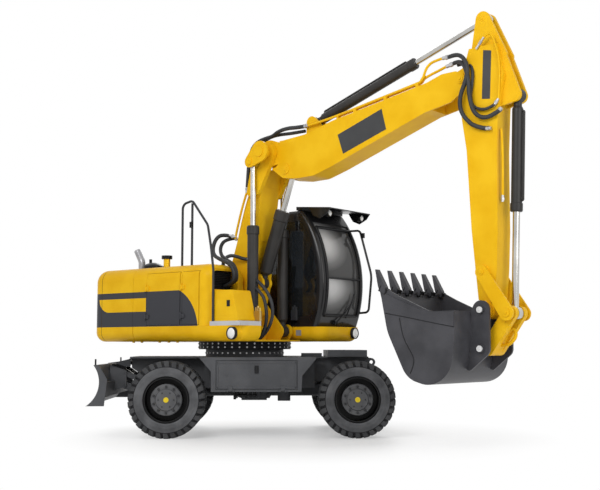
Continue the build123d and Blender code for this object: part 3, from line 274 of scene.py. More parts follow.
def add_stage():
    mesh = bpy.data.meshes.new("floor")
    size = 60
    mesh.from_pydata([(-size, -size, 0), (size, -size, 0), (size, size, 0), (-size, size, 0)], [],
                     [(0, 1, 2, 3)])
    floor = bpy.data.objects.new("floor", mesh)
    bpy.context.scene.collection.objects.link(floor)
    material = bpy.data.materials.new("floor")
    material.use_nodes = True
    tree = material.node_tree
    shader = tree.nodes["Principled BSDF"]
    shader.inputs["Base Color"].default_value = (0.93, 0.93, 0.93, 1)
    shader.inputs["Roughness"].default_value = 0.45
    glow = tree.nodes.new("ShaderNodeEmission")
    mix = tree.nodes.new("ShaderNodeMixShader")
    place = tree.nodes.new("ShaderNodeTexCoord")
    distance = tree.nodes.new("ShaderNodeVectorMath")
    distance.operation = "LENGTH"
    link(tree, place.outputs["Object"], distance.inputs[0])
    fade = tree.nodes.new("ShaderNodeMapRange")
    fade.inputs["From Min"].default_value = 1.5
    fade.inputs["From Max"].default_value = 3.5
    fade.inputs["To Min"].default_value = 0.38
    fade.inputs["To Max"].default_value = 1.0
    link(tree, distance.outputs["Value"], fade.inputs["Value"])
    share = tree.nodes.new("ShaderNodeMath")
    share.operation = "MULTIPLY"
    link(tree, fade.outputs["Result"], share.inputs[0])
    link(tree, seen_rays(tree), share.inputs[1])
    link(tree, share.outputs["Value"], mix.inputs["Fac"])
    link(tree, shader.outputs["BSDF"], mix.inputs[1])
    link(tree, glow.outputs["Emission"], mix.inputs[2])
    link(tree, mix.outputs["Shader"], tree.nodes["Material Output"].inputs["Surface"])
    mesh.materials.append(material)

    world = bpy.data.worlds.new("studio")
    bpy.context.scene.world = world
    world.use_nodes = True
    tree = world.node_tree
    tree.nodes.clear()
    output = tree.nodes.new("ShaderNodeOutputWorld")
    light = tree.nodes.new("ShaderNodeBackground")
    light.inputs["Color"].default_value = (1.0, 1.0, 1.0, 1)
    light.inputs["Strength"].default_value = 0.52
    seen = tree.nodes.new("ShaderNodeBackground")
    seen.inputs["Color"].default_value = (1, 1, 1, 1)
    seen.inputs["Strength"].default_value = 1.0
    mix = tree.nodes.new("ShaderNodeMixShader")
    link(tree, seen_rays(tree), mix.inputs["Fac"])
    link(tree, light.outputs["Background"], mix.inputs[1])
    link(tree, seen.outputs["Background"], mix.inputs[2])
    link(tree, mix.outputs["Shader"], output.inputs["Surface"])


def add_lamp(name, place, aim, size, power):
    data = bpy.data.lights.new(name, "AREA")
    data.size = size
    data.energy = power
    lamp = bpy.data.objects.new(name, data)
    bpy.context.scene.collection.objects.link(lamp)
    lamp.location = place
    lamp.rotation_euler = (Vector(aim) - Vector(place)).to_track_quat("-Z", "Y").to_euler()


# Mesh helpers
def add_piece(name, mesh, body, material, smooth=True):
    piece = bpy.data.objects.new(name, mesh)
    bpy.context.scene.collection.objects.link(piece)
    mesh.materials.append(material)
    if smooth:
        for polygon in mesh.polygons:
            polygon.use_smooth = True
    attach(piece, body)
    return piece


def mesh_from(name, work):
    mesh = bpy.data.meshes.new(name)
    bmesh.ops.remove_doubles(work, verts=work.verts, dist=1e-5)
    bmesh.ops.recalc_face_normals(work, faces=work.faces)
    work.to_mesh(mesh)
    work.free()
    return mesh


def strip(work, rings, closed=True):
    """Skins a list of vertex rings."""
    count = len(rings[0])
    for low, high in zip(rings, rings[1:]):
        for index in range(count if closed else count - 1):
            after = (index + 1) % count
            work.faces.new((low[index], low[after], high[after], high[index]))


def prism(work, corners, normal, height):
    """Upright solid on a flat outline of world points."""
    low = [work.verts.new(corner) for corner in corners]
    high = [work.verts.new(corner + normal * height) for corner in corners]
    work.faces.new(list(reversed(low)))
    work.faces.new(high)
    strip(work, [low, high])


def ring_points(centre, first, second, radius, count, turn=0.0):
    points = []
    for index in range(count):
        angle = turn + 2 * math.pi * index / count
        points.append(centre + first * radius * math.cos(angle) + second * radius * math.sin(angle))
    return points


def hex_head(work, place, normal, radius, height):
    """Bolt head standing on a face."""
    side = normal.cross(UP if abs(normal.z) < 0.9 else Vector((1, 0, 0))).normalized()
    prism(work, ring_points(place, side, normal.cross(side), radius, 6), normal, height)


# Wheels
AXLES = {"rear": -1.034, "front": 1.566}
TYRE_RADIUS = 0.525
TYRE_WIDTH = 0.278
TRACK_FACE = 1.275
TWIN_STEP = TYRE_WIDTH + 0.032
LUGS = 30
TYRE_STEPS = 96
SIDEWALL = ((0.034, 0.3045), (0.02, 0.312), (0.011, 0.33), (0.008, 0.345), (0.01, 0.349), (0.004, 0.372),
            (0.0015, 0.395), (0.0035, 0.398), (0.003, 0.418), (0.008, 0.442), (0.018, 0.468), (0.034, 0.486))
TREAD = ((0.06, 0.491), (0.139, 0.494))


def tyre_point(axle, across, radius, angle):
    x = AXLES[axle] + radius * math.cos(angle)
    return chassis(x, across, TYRE_RADIUS + radius * math.sin(angle))


def add_carcass(work, axle, side, start):
    half = [*SIDEWALL, *TREAD]
    outline = half + [(TYRE_WIDTH - s, r) for s, r in reversed(half[:-1])]
    rings = []
    for s, radius in outline:
        across = side * (start + s)
        rings.append([work.verts.new(tyre_point(axle, across, radius, 2 * math.pi * k / TYRE_STEPS))
                      for k in range(TYRE_STEPS)])
    strip(work, rings)


LUG_TOP = ((0.132, 0.5235), (0.07, 0.5245), (0.038, 0.522), (0.025, 0.505), (0.018, 0.474), (0.009, 0.444))
LUG_FOOT = ((0.132, 0.488), (0.07, 0.486), (0.036, 0.48), (0.026, 0.472), (0.016, 0.458), (0.01, 0.436))


def add_lug(work, axle, side, start, mirrored, angle):
    """Tread block from the middle of the tread down over the shoulder."""
    half_turn = math.pi / LUGS * 0.6
    rows = []
    for (top_s, top_r), (foot_s, foot_r) in zip(LUG_TOP, LUG_FOOT):
        lean = (top_s - 0.03) * 0.9
        row = []
        for s, radius, spread in ((top_s, top_r, -0.92), (top_s, top_r, 0.92), (foot_s, foot_r, 1.15),
                                  (foot_s, foot_r, -1.15)):
            across = side * (start + (TYRE_WIDTH - s if mirrored else s))
            width = half_turn * spread * (1.0 if s < 0.05 else 0.82)
            row.append(work.verts.new(tyre_point(axle, across, radius, angle + lean + width)))
        rows.append(row)
    strip(work, rows)
    work.faces.new(rows[0])
    work.faces.new(rows[-1])


def add_tyres(axle, side_name, rubber):
    side = 1 if side_name == "left" else -1
    work = bmesh.new()
    for start in (TRACK_FACE - TYRE_WIDTH, TRACK_FACE - TYRE_WIDTH - TWIN_STEP):
        add_carcass(work, axle, side, start)
    smooth_faces = len(work.faces)
    for start in (TRACK_FACE - TYRE_WIDTH, TRACK_FACE - TYRE_WIDTH - TWIN_STEP):
        for index in range(LUGS):
            angle = 2 * math.pi * index / LUGS
            add_lug(work, axle, side, start, False, angle)
            add_lug(work, axle, side, start, True, angle + math.pi / LUGS)
    for index, face in enumerate(work.faces):
        face.smooth = index < smooth_faces
        face.material_index = 0 if face.smooth else 1
    corner = axle + "_" + side_name
    mesh = mesh_from("treaded_tyres_" + corner, work)
    piece = add_piece("treaded_tyres_" + corner, mesh, "wheel_" + corner, rubber, smooth=False)
    mesh.materials.append(TYRE_BLOCK)
    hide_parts("tyres_" + corner)


STUD_FACE = TRACK_FACE - 0.05
STUD_CIRCLE = 0.176


def add_studs(axle, side_name):
    side = 1 if side_name == "left" else -1
    work = bmesh.new()
    for index in range(10):
        angle = 2 * math.pi * (index + 0.5) / 10
        place = tyre_point(axle, side * STUD_FACE, STUD_CIRCLE, angle)
        hex_head(work, place, LEFT * side, 0.019, 0.016)
        prism(work, ring_points(place + LEFT * side * 0.016, AHEAD, UP, 0.01, 10), LEFT * side, 0.014)
    for index in range(6):
        angle = 2 * math.pi * index / 6
        hex_head(work, tyre_point(axle, side * (TRACK_FACE - 0.028), 0.105, angle), LEFT * side, 0.011, 0.007)
    corner = axle + "_" + side_name
    name = "wheel_nuts_" + corner
    piece = add_piece(name, mesh_from(name, work), "wheel_" + corner, STUD, smooth=False)


def from_axle(tree, axle):
    """Distance of a point from the axle's line."""
    place = tree.nodes.new("ShaderNodeTexCoord")
    shift = tree.nodes.new("ShaderNodeVectorMath")
    shift.operation = "SUBTRACT"
    shift.inputs[1].default_value = chassis(AXLES[axle], 0, TYRE_RADIUS)
    link(tree, place.outputs["Object"], shift.inputs[0])
    along = tree.nodes.new("ShaderNodeVectorMath")
    along.operation = "CROSS_PRODUCT"
    along.inputs[1].default_value = LEFT
    link(tree, shift.outputs["Vector"], along.inputs[0])
    distance = tree.nodes.new("ShaderNodeVectorMath")
    distance.operation = "LENGTH"
    link(tree, along.outputs["Vector"], distance.inputs[0])
    return distance.outputs["Value"]


def wheel_paint(axle):
    """Grey hub with a yellow cap in a black rim, by the distance from the axle."""
    material = surface("wheel_" + axle, (0.075, 0.076, 0.08), (0.11, 0.111, 0.116), 0.45, bump=0.04)
    tree = material.node_tree
    distance = from_axle(tree, axle)
    paint_over(material, part_of(tree, distance, 0.2152, 1), (0.003, 0.003, 0.0033))
    paint_over(material, part_of(tree, distance, 0, 0.036), (0.7, 0.52, 0.02))
    return material


def carcass_rubber(axle):
    """Grey sidewall with painted shade: black between the blocks of the tread, and a darker ring next to the
    rim.
    """
    material = surface("tyre_" + axle, (0.062, 0.063, 0.067), (0.115, 0.117, 0.123), 0.7, bump=0.12, grain=90,
                       blotch=5, shine=0.2)
    tree = material.node_tree
    distance = from_axle(tree, axle)
    # Painted shade: black on the carcass between the tread blocks.
    paint_over(material, part_of(tree, distance, 0.4385, 1), DEEP_BLACK)
    # Painted shade: a darker ring on the sidewall next to the rim.
    paint_over(material, part_of(tree, distance, 0, 0.318), SOFT_BLACK)
    return material


STUD = surface("wheel_nut", (0.03, 0.03, 0.032), (0.05, 0.05, 0.052), 0.4, metallic=0.4, bump=0.03)


def add_wheels():
    for axle in AXLES:
        paint = wheel_paint(axle)
        rubber = carcass_rubber(axle)
        for side_name in ("left", "right"):
            data = nodes["wheel_" + axle + "_" + side_name].data
            data.materials.clear()
            data.materials.append(paint)
            add_tyres(axle, side_name, rubber)
            add_studs(axle, side_name)


# Paint of the hood, the upper frame and the roof fittings, by place on the upper machine
SWEEP_LOW = 1.531
SWEEP_TOP = 2.037
SWEEP_ARC = (-0.4116, 1.4674, 0.6194)
SWEEP_STRAIGHT = -0.171
SWEEP_DEPTH = 1.08
INSET_X = (-1.889, -0.852)
INSET_Z = (1.75, 1.946)
INSET_CORNER = (0.226, 0.197)
SWEEP_GREY = (0.052, 0.053, 0.06)
FLANGE_GREY = (0.02, 0.021, 0.023)
REAR_LINE = -1.83
BLACK_LINE = (0.05, 0.03, 0.008)


def hood_paint():
    """Yellow with the dark sweep on both sides and its yellow field."""
    material = surface("hood_paint", YELLOW_DARK, YELLOW_LIGHT, **YELLOW_FINISH)
    tree = material.node_tree
    place = tree.nodes.new("ShaderNodeTexCoord").outputs["Object"]
    axes = tree.nodes.new("ShaderNodeSeparateXYZ")
    link(tree, place, axes.inputs["Vector"])
    across = tree.nodes.new("ShaderNodeMath")
    across.operation = "ABSOLUTE"
    link(tree, axes.outputs["Y"], across.inputs[0])
    side = part_of(tree, across.outputs["Value"], SWEEP_DEPTH, 3)
    height = part_of(tree, axes.outputs["Z"], SWEEP_LOW, SWEEP_TOP)
    start = SWING.x
    arc_x, arc_z, arc_radius = SWEEP_ARC
    from_arc = distance_from(tree, place, (start + arc_x, 0, arc_z), (arc_radius, 1e6, arc_radius))
    in_arc = part_of(tree, from_arc, -1, 1)
    behind = part_of(tree, axes.outputs["X"], -9, start + SWEEP_STRAIGHT)
    swept = product(tree, product(tree, side, height), combine(tree, in_arc, behind, "MAXIMUM"))
    long = part_of(tree, axes.outputs["X"], start + INSET_X[0], start + INSET_X[1])
    tall = part_of(tree, axes.outputs["Z"], *INSET_Z)
    corner_x = start + INSET_X[0] + INSET_CORNER[0]
    from_corner = distance_from(tree, place, (corner_x, 0, INSET_Z[1]),
                                (INSET_CORNER[0], 1e6, INSET_CORNER[1]))
    rounded = part_of(tree, from_corner, -1, 1)
    past = part_of(tree, axes.outputs["X"], corner_x, 9)
    field = product(tree, product(tree, long, tall), combine(tree, rounded, past, "MAXIMUM"))
    bare = tree.nodes.new("ShaderNodeMath")
    bare.operation = "SUBTRACT"
    bare.inputs[0].default_value = 1
    link(tree, field, bare.inputs[1])
    paint_over(material, product(tree, swept, bare.outputs["Value"]), SWEEP_GREY)
    seam = part_of(tree, axes.outputs["X"], start + REAR_LINE - 0.004, start + REAR_LINE + 0.004)
    paint_over(material, seam, BLACK_LINE)
    return material


def frame_paint():
    """Yellow platform on a dark slewing flange."""
    material = surface("frame_paint", YELLOW_DARK, YELLOW_LIGHT, **YELLOW_FINISH)
    tree = material.node_tree
    place = tree.nodes.new("ShaderNodeTexCoord").outputs["Object"]
    axes = tree.nodes.new("ShaderNodeSeparateXYZ")
    link(tree, place, axes.inputs["Vector"])
    paint_over(material, part_of(tree, axes.outputs["Z"], 0, 1.3178), FLANGE_GREY)
    return material


def fittings_paint():
    """Bright exhaust, black air cleaner and filler cap, yellow filler neck."""
    material = surface("fittings_paint", (0.3, 0.3, 0.31), (0.48, 0.48, 0.5), 0.3, metallic=0.5, bump=0.04)
    tree = material.node_tree
    place = tree.nodes.new("ShaderNodeTexCoord").outputs["Object"]
    axes = tree.nodes.new("ShaderNodeSeparateXYZ")
    link(tree, place, axes.inputs["Vector"])
    start = SWING.x
    ahead = part_of(tree, axes.outputs["X"], start - 1.32, 9)
    paint_over(material, ahead, SOFT_BLACK)
    neck = part_of(tree, axes.outputs["X"], start - 0.95, 9)
    low = part_of(tree, axes.outputs["Z"], 0, 2.5395)
    paint_over(material, product(tree, neck, low), YELLOW_LIGHT)
    return material


def dress(material, *names):
    for name in names:
        data = nodes[name].data
        data.materials.clear()
        data.materials.append(material)


def add_tube(work, points, radius, corners=3):
    """Round hose or bar along a smooth line led by the points."""
    curve = bpy.data.curves.new("route", "CURVE")
    curve.dimensions = "3D"
    curve.bevel_depth = radius
    curve.bevel_resolution = corners
    curve.use_fill_caps = True
    spline = curve.splines.new("NURBS")
    spline.points.add(len(points) - 1)
    for control, place in zip(spline.points, points):
        control.co = (*place, 1)
    spline.order_u = 3
    spline.use_endpoint_u = True
    route = bpy.data.objects.new("route", curve)
    tube = bpy.data.meshes.new_from_object(route)
    work.from_mesh(tube)
    bpy.data.objects.remove(route)
    bpy.data.curves.remove(curve)
    bpy.data.meshes.remove(tube)


def add_box(work, centre, size, axes):
    """Small block with chamfered long edges, its size given along the three axes."""
    along, across, above = axes
    half = [value / 2 for value in size]
    cut = min(half) * 0.3
    outline = []
    for u, v in ((-1, -1), (1, -1), (1, 1), (-1, 1)):
        first = centre + along * u * (half[0] - cut) + across * v * half[1]
        second = centre + along * u * half[0] + across * v * (half[1] - cut)
        outline += [first, second] if u * v > 0 else [second, first]
    prism(work, [corner - above * half[2] for corner in outline], above, size[2])


UPPER_AXES = (Vector((1, 0, 0)), Vector((0, 1, 0)), UP)
CHASSIS_AXES = (AHEAD, LEFT, UP)

# Hoses: name, first body, second body, radius, points on the upper machine
HOSES = (
    ("stick_hose_a", "upper_boom", "dipper", 0.027,
     ((3.8, -0.41, 4.86), (3.93, -0.44, 4.87), (4.05, -0.47, 4.79), (4.12, -0.5, 4.64), (4.09, -0.5, 4.5),
      (4.0, -0.5, 4.31), (4.0, -0.5, 4.14), (4.07, -0.48, 4.01), (4.19, -0.46, 3.905), (4.33, -0.455, 3.87))),
    ("stick_hose_b", "upper_boom", "dipper", 0.027,
     ((3.85, -0.37, 4.78), (3.96, -0.42, 4.78), (4.06, -0.47, 4.69), (4.125, -0.5, 4.49), (4.13, -0.5, 4.29),
      (4.175, -0.49, 4.09), (4.28, -0.47, 4.0), (4.41, -0.46, 4.01), (4.52, -0.455, 4.07))),
    ("stick_hose_c", "upper_boom", "dipper", 0.019,
     ((3.89, -0.35, 4.75), (4.0, -0.37, 4.75), (4.1, -0.4, 4.72), (4.16, -0.45, 4.6), (4.15, -0.455, 4.45),
      (4.12, -0.455, 4.31), (4.14, -0.455, 4.18), (4.25, -0.455, 4.11), (4.38, -0.455, 4.11),
      (4.45, -0.455, 4.15))),
    ("head_hose_a", "lower_boom", "upper_boom", 0.028,
     ((0.425, -0.43, 3.54), (0.435, -0.43, 3.65), (0.445, -0.43, 3.82), (0.48, -0.42, 4.07),
      (0.58, -0.4, 4.19),
      (0.75, -0.39, 4.225), (0.87, -0.39, 4.235), (0.98, -0.4, 4.29), (1.15, -0.4, 4.315), (1.34, -0.4, 4.3),
      (1.46, -0.4, 4.3))),
    ("head_hose_b", "lower_boom", "upper_boom", 0.024,
     ((0.425, -0.35, 3.54), (0.45, -0.35, 3.65), (0.48, -0.35, 3.84), (0.54, -0.34, 4.06), (0.64, -0.33, 4.2),
      (0.8, -0.33, 4.25), (0.96, -0.33, 4.26), (1.15, -0.33, 4.25), (1.34, -0.33, 4.25),
      (1.42, -0.33, 4.25))),
    ("foot_hose_a", "upper", "lower_boom", 0.028,
     ((0.3, -0.78, 2.09), (0.5, -0.82, 2.12), (0.57, -0.84, 2.24), (0.5, -0.84, 2.39), (0.28, -0.82, 2.47),
      (0.1, -0.78, 2.54), (0.0, -0.7, 2.67), (-0.01, -0.62, 2.81), (0.06, -0.56, 2.87), (0.16, -0.47, 2.84))),
    ("foot_hose_b", "upper", "lower_boom", 0.026,
     ((0.3, -0.7, 2.12), (0.48, -0.73, 2.14), (0.54, -0.76, 2.25), (0.47, -0.75, 2.4), (0.26, -0.72, 2.49),
      (0.12, -0.66, 2.57), (0.04, -0.58, 2.7), (0.07, -0.5, 2.8), (0.16, -0.39, 2.82))),
    ("foot_hose_c", "upper", "lower_boom", 0.026,
     ((0.23, -0.72, 2.4), (0.19, -0.68, 2.48), (0.25, -0.61, 2.55), (0.35, -0.555, 2.53), (0.43, -0.51, 2.49),
      (0.49, -0.47, 2.49))),
)
LIFT_HOSES = (
    ("lift_hose_a", "upper", "lift_barrel", 0.024,
     ((0.78, -0.555, 1.35), (0.88, -0.555, 1.42), (0.98, -0.56, 1.54), (1.03, -0.56, 1.68),
      (1.02, -0.565, 1.84),
      (0.95, -0.57, 1.98), (0.86, -0.58, 2.09), (0.75, -0.585, 2.17))),
    ("lift_hose_b", "upper", "lift_barrel", 0.024,
     ((0.82, -0.6, 1.35), (0.9, -0.61, 1.44), (0.95, -0.61, 1.56), (0.96, -0.61, 1.7), (0.93, -0.605, 1.85),
      (0.87, -0.6, 1.97), (0.75, -0.6, 2.06))),
)


def add_hoses():
    for name, first, second, radius, points in HOSES + LIFT_HOSES:
        work = bmesh.new()
        add_tube(work, [upper(*point) for point in points], radius)
        mesh = mesh_from(name, work)
        piece = bpy.data.objects.new(name, mesh)
        bpy.context.scene.collection.objects.link(piece)
        mesh.materials.append(RUBBER)
        for polygon in mesh.polygons:
            polygon.use_smooth = True
        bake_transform(piece)


# Pipes: name, body, radius, points on the upper machine
PIPES = (
    ("stick_pipe_a", "upper_boom", 0.017,
     ((3.42, -0.41, 4.66), (3.45, -0.405, 4.76), (3.52, -0.4, 4.83), (3.62, -0.405, 4.85),
      (3.72, -0.41, 4.86))),
    ("stick_pipe_b", "upper_boom", 0.017,
     ((3.42, -0.368, 4.66), (3.5, -0.37, 4.69), (3.62, -0.37, 4.72), (3.75, -0.37, 4.76))),
    ("head_pipe_a", "upper_boom", 0.017,
     ((1.5, -0.4, 4.3), (1.62, -0.4, 4.31), (1.8, -0.405, 4.33), (1.96, -0.41, 4.35), (2.1, -0.41, 4.376))),
    ("back_pipe_a", "lower_boom", 0.017,
     ((0.2, -0.44, 2.8), (0.22, -0.44, 2.88), (0.29, -0.44, 3.11), (0.36, -0.44, 3.32), (0.42, -0.43, 3.48))),
    ("back_pipe_b", "lower_boom", 0.017,
     ((0.2, -0.36, 2.78), (0.22, -0.36, 2.88), (0.29, -0.36, 3.11), (0.36, -0.36, 3.32),
      (0.42, -0.35, 3.48))),
    ("dipper_pipe_a", "dipper", 0.013,
     ((4.3, -0.434, 5.0), (4.37, -0.434, 5.06), (4.43, -0.434, 5.0), (4.5, -0.434, 4.76),
      (4.515, -0.434, 4.55),
      (4.5, -0.434, 4.34), (4.49, -0.434, 4.2))),
    ("dipper_pipe_b", "dipper", 0.015,
     ((4.49, -0.37, 3.86), (4.5, -0.37, 3.7), (4.5, -0.37, 3.45), (4.495, -0.37, 3.2), (4.49, -0.37, 3.02))),
)


def add_pipes():
    for name, body, radius, points in PIPES:
        work = bmesh.new()
        add_tube(work, [upper(*point) for point in points], radius)
        piece = add_piece(name, mesh_from(name, work), body, YELLOW)


# Steel ends of the hoses: name, body, radius, start, end
ENDS = (
    ("stick_end_a", "upper_boom", 0.03, (3.71, -0.41, 4.858), (3.82, -0.41, 4.862)),
    ("stick_end_b", "upper_boom", 0.03, (3.74, -0.37, 4.755), (3.87, -0.37, 4.782)),
    ("dipper_end_a", "dipper", 0.03, (4.31, -0.455, 3.872), (4.4, -0.455, 3.862)),
    ("dipper_end_b", "dipper", 0.03, (4.49, -0.455, 4.05), (4.545, -0.455, 4.095)),
    ("dipper_end_c", "dipper", 0.022, (4.43, -0.45, 4.13), (4.495, -0.44, 4.215)),
    ("dipper_end_d", "dipper", 0.024, (4.49, -0.37, 3.05), (4.485, -0.37, 2.97)),
    ("dipper_end_e", "dipper", 0.02, (4.2, -0.434, 4.88), (4.31, -0.434, 5.01)),
    ("head_end_a", "lower_boom", 0.031, (0.418, -0.43, 3.46), (0.426, -0.43, 3.56)),
    ("head_end_b", "lower_boom", 0.028, (0.418, -0.35, 3.46), (0.426, -0.35, 3.56)),
    ("boom_end_a", "upper_boom", 0.031, (1.43, -0.4, 4.3), (1.53, -0.4, 4.3)),
    ("foot_end_a", "lower_boom", 0.031, (0.13, -0.5, 2.852), (0.205, -0.44, 2.83)),
    ("foot_end_b", "lower_boom", 0.028, (0.13, -0.42, 2.822), (0.205, -0.36, 2.8)),
    ("foot_end_c", "lower_boom", 0.03, (0.46, -0.49, 2.49), (0.52, -0.455, 2.49)),
)


def add_ends():
    for name, body, radius, start, end in ENDS:
        work = bmesh.new()
        first = upper(*start)
        run = upper(*end) - first
        along = run.normalized()
        side = along.orthogonal().normalized()
        across = along.cross(side)
        for place, reach, share, sides in ((0.0, 0.8, 0.45, 14), (0.4, 1.0, 0.3, 6), (0.68, 0.75, 0.32, 14)):
            base = first + run * place
            prism(work, ring_points(base, side, across, radius * reach, sides), along, run.length * share)
        add_piece(name, mesh_from(name, work), body, STEEL, smooth=False)


FLANGE_ROWS = ((0.6805, 1.288, "upper"), (0.6805, 1.236, "upper"), (0.5755, 1.152, "undercarriage"))


def add_ring_bolts():
    """Bright bolt heads round the slewing ring."""
    for row, (radius, height, body) in enumerate(FLANGE_ROWS):
        work = bmesh.new()
        for index in range(40):
            angle = 2 * math.pi * index / 40
            out = Vector((math.cos(angle), math.sin(angle), 0))
            hex_head(work, SWING + out * radius + UP * height, out, 0.013, 0.008)
        name = "ring_bolts_" + str(row)
        add_piece(name, mesh_from(name, work), body, STEEL, smooth=False)


LAMP_SIDES = 40
# Lamps: centre on the upper machine, facing, radius, depth
LAMPS = (
    ((0.87, -1.172, 1.425), (0, -1, 0), 0.088, 0.07),
    ((1.238, 1.0, 1.44), (1, 0, 0), 0.084, 0.07),
    ((1.278, 0.34, 3.165), (1, 0, 0), 0.05, 0.07),
    ((1.278, 1.12, 3.165), (1, 0, 0), 0.05, 0.07),
)


def add_lamps():
    """Round lamps with deep black rims and domed lenses."""
    work = bmesh.new()
    for place, facing, radius, depth in LAMPS:
        out = Vector(facing)
        across = UP.cross(out)
        profile = ((0.92, 0.0), (1.0, 0.15), (1.0, 0.92), (0.94, 1.0), (0.84, 1.0), (0.82, 0.86))
        rings = []
        for reach, lift in profile:
            centre = upper(*place) + out * depth * lift
            rings.append([work.verts.new(point)
                          for point in ring_points(centre, across, UP, radius * reach, LAMP_SIDES)])
        strip(work, rings)
        work.faces.new(rings[0])
        housing = len(work.faces)
        lens = []
        for reach, lift in ((0.82, 0.86), (0.72, 0.98), (0.5, 1.1), (0.22, 1.16)):
            centre = upper(*place) + out * depth * lift
            lens.append([work.verts.new(point)
                         for point in ring_points(centre, across, UP, radius * reach, LAMP_SIDES)])
        strip(work, lens)
        work.faces.new(lens[-1])
        for face in list(work.faces)[housing:]:
            face.material_index = 1
        if radius < 0.06:
            add_box(work, upper(place[0] + 0.02, place[1], place[2] + radius + 0.018), (0.03, 0.03, 0.036),
                    UPPER_AXES)
    mesh = mesh_from("lamp_units", work)
    piece = add_piece("lamp_units", mesh, "upper", BLACK)
    mesh.materials.append(LAMP)
    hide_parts("work_lamps")


def add_blank_panels():
    """Dark bare panels on both sides of the upper boom and the dipper."""
    outlines = (("boom_panel", "upper_boom", 0.19, ((2.17, 3.82), (2.87, 4.06), (2.8, 4.34), (2.08, 4.09))),
                ("dipper_panel", "dipper", 0.16, ((4.26, 4.25), (4.37, 4.235), (4.4, 4.83), (4.29, 4.855))))
    for name, body, half, corners in outlines:
        for side, word in ((-1, "right"), (1, "left")):
            work = bmesh.new()
            points = [boom(x, z, side * (half + 0.0004)) for x, z in corners]
            prism(work, points, Vector((0, side, 0)), 0.0016)
            piece = add_piece(name + "_" + word, mesh_from(name + "_" + word, work), body, PANEL,
                              smooth=False)


def add_side_box_trim():
    """Raised border and latch on each side box door."""
    for side, word in ((-1, "right"), (1, "left")):
        face = side * 1.2502
        out = LEFT * side
        work = bmesh.new()
        low, high, rear, front = 0.69, 1.024, -0.34, 0.72
        for start, end in (((rear, low), (front, low)), ((rear, high), (front, high)),
                           ((rear, low), (rear, high)),
                           ((front, low), (front, high))):
            middle = chassis((start[0] + end[0]) / 2, face, (start[1] + end[1]) / 2) + out * 0.003
            size = (abs(end[0] - start[0]) + 0.018, 0.006, abs(end[1] - start[1]) + 0.018)
            add_box(work, middle, size, CHASSIS_AXES)
        for x in (-0.22, 0.6):
            prism(work, ring_points(chassis(x, face, 0.86), AHEAD, UP, 0.013, 16), out, 0.01)
        name = "side_box_trim_" + word
        piece = add_piece(name, mesh_from(name, work), "side_box_door_" + word, CHARCOAL, smooth=False)
        work = bmesh.new()
        add_box(work, chassis(0.19, face, 0.935) + out * 0.008, (0.055, 0.016, 0.105), CHASSIS_AXES)
        add_box(work, chassis(0.19, face, 0.95) + out * 0.018, (0.03, 0.012, 0.045), CHASSIS_AXES)
        name = "side_box_latch_" + word
        add_piece(name, mesh_from(name, work), "side_box_door_" + word, BLACK, smooth=False)


def add_tread_pattern():
    """Raised bars on the walkway plate."""
    work = bmesh.new()
    for row in range(13):
        for column in range(9):
            lean = 1 if (row + column) % 2 else -1
            along = Vector((1, lean, 0)).normalized()
            across = Vector((-lean, 1, 0)).normalized()
            centre = upper(0.475 + row * 0.0405, -1.165 + column * 0.0445, 1.5912)
            add_box(work, centre, (0.03, 0.008, 0.0024), (along, across, UP))
    add_piece("tread_bars", mesh_from("tread_bars", work), "upper", STEEL, smooth=False)


def add_cushions():
    """Seat base and back as crowned cushions in place of the plain solids."""
    centre = 0.73
    shapes = (((0.345, centre, 1.985), (0.47, 0.45, 0.125), 0.0),
              ((0.12, centre, 2.345), (0.125, 0.42, 0.585), -0.1))
    work = bmesh.new()
    for place, size, lean in shapes:
        pad = bmesh.new()
        bmesh.ops.create_cube(pad, size=1)
        bmesh.ops.subdivide_edges(pad, edges=list(pad.edges), cuts=9, use_grid_fill=True)
        for vert in pad.verts:
            u, v, w = (2 * value for value in vert.co)
            crown = (u * (1 - 0.1 * (v * v + w * w)), v * (1 - 0.1 * (u * u + w * w)),
                     w * (1 - 0.1 * (u * u + v * v)))
            x, y, z = (value * reach / 2 for value, reach in zip(crown, size))
            seam = 0.02 * math.exp(-((abs(v) - 0.55) / 0.05) ** 2)
            if size[2] < size[0]:
                z -= seam * max(w, 0)
            else:
                x -= seam * max(u, 0)
            vert.co = upper(place[0] + x + lean * z, place[1] + y, place[2] + z)
        shell = bpy.data.meshes.new("pad")
        pad.to_mesh(shell)
        pad.free()
        work.from_mesh(shell)
        bpy.data.meshes.remove(shell)
    mesh = mesh_from("seat_cushions", work)
    piece = add_piece("seat_cushions", mesh, "upper", SEAT)
    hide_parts("seat")


def bow_x(z, inset=0.0):
    """Front of the bowed cab at a height."""
    return -0.351 + math.sqrt((1.652 - inset) ** 2 - (z - 2.173) ** 2)


def add_front_glass_trim():
    """Gasket round the windscreen and the bar between its two panes."""
    work = bmesh.new()
    low, high = 1.69, 2.985
    for y in (0.325, 1.135):
        points = [upper(bow_x(low + (high - low) * k / 12) + 0.004, y, low + (high - low) * k / 12)
                  for k in range(13)]
        add_tube(work, points, 0.022, corners=2)
    for z in (low, high, 2.235):
        radius = 0.02 if z != 2.235 else 0.014
        points = [upper(bow_x(z) + 0.002, 0.325 + 0.81 * k / 4, z) for k in range(5)]
        add_tube(work, points, radius, corners=2)
    add_piece("windscreen_gasket", mesh_from("windscreen_gasket", work), "upper", BLACK)
    work = bmesh.new()
    wiper = ((0.62, 1.585), (0.66, 1.62), (0.8, 1.74), (0.92, 1.9))
    add_tube(work, [upper(bow_x(max(z, 1.6)) + 0.03, y, z) for y, z in wiper], 0.011, corners=2)
    blade = ((0.845, 1.66), (0.9, 1.82), (0.965, 2.02))
    add_tube(work, [upper(bow_x(z) + 0.018, y, z) for y, z in blade], 0.01, corners=2)
    add_box(work, upper(bow_x(1.6) + 0.02, 0.615, 1.585), (0.05, 0.07, 0.05), UPPER_AXES)
    add_piece("wiper", mesh_from("wiper", work), "upper", BLACK)


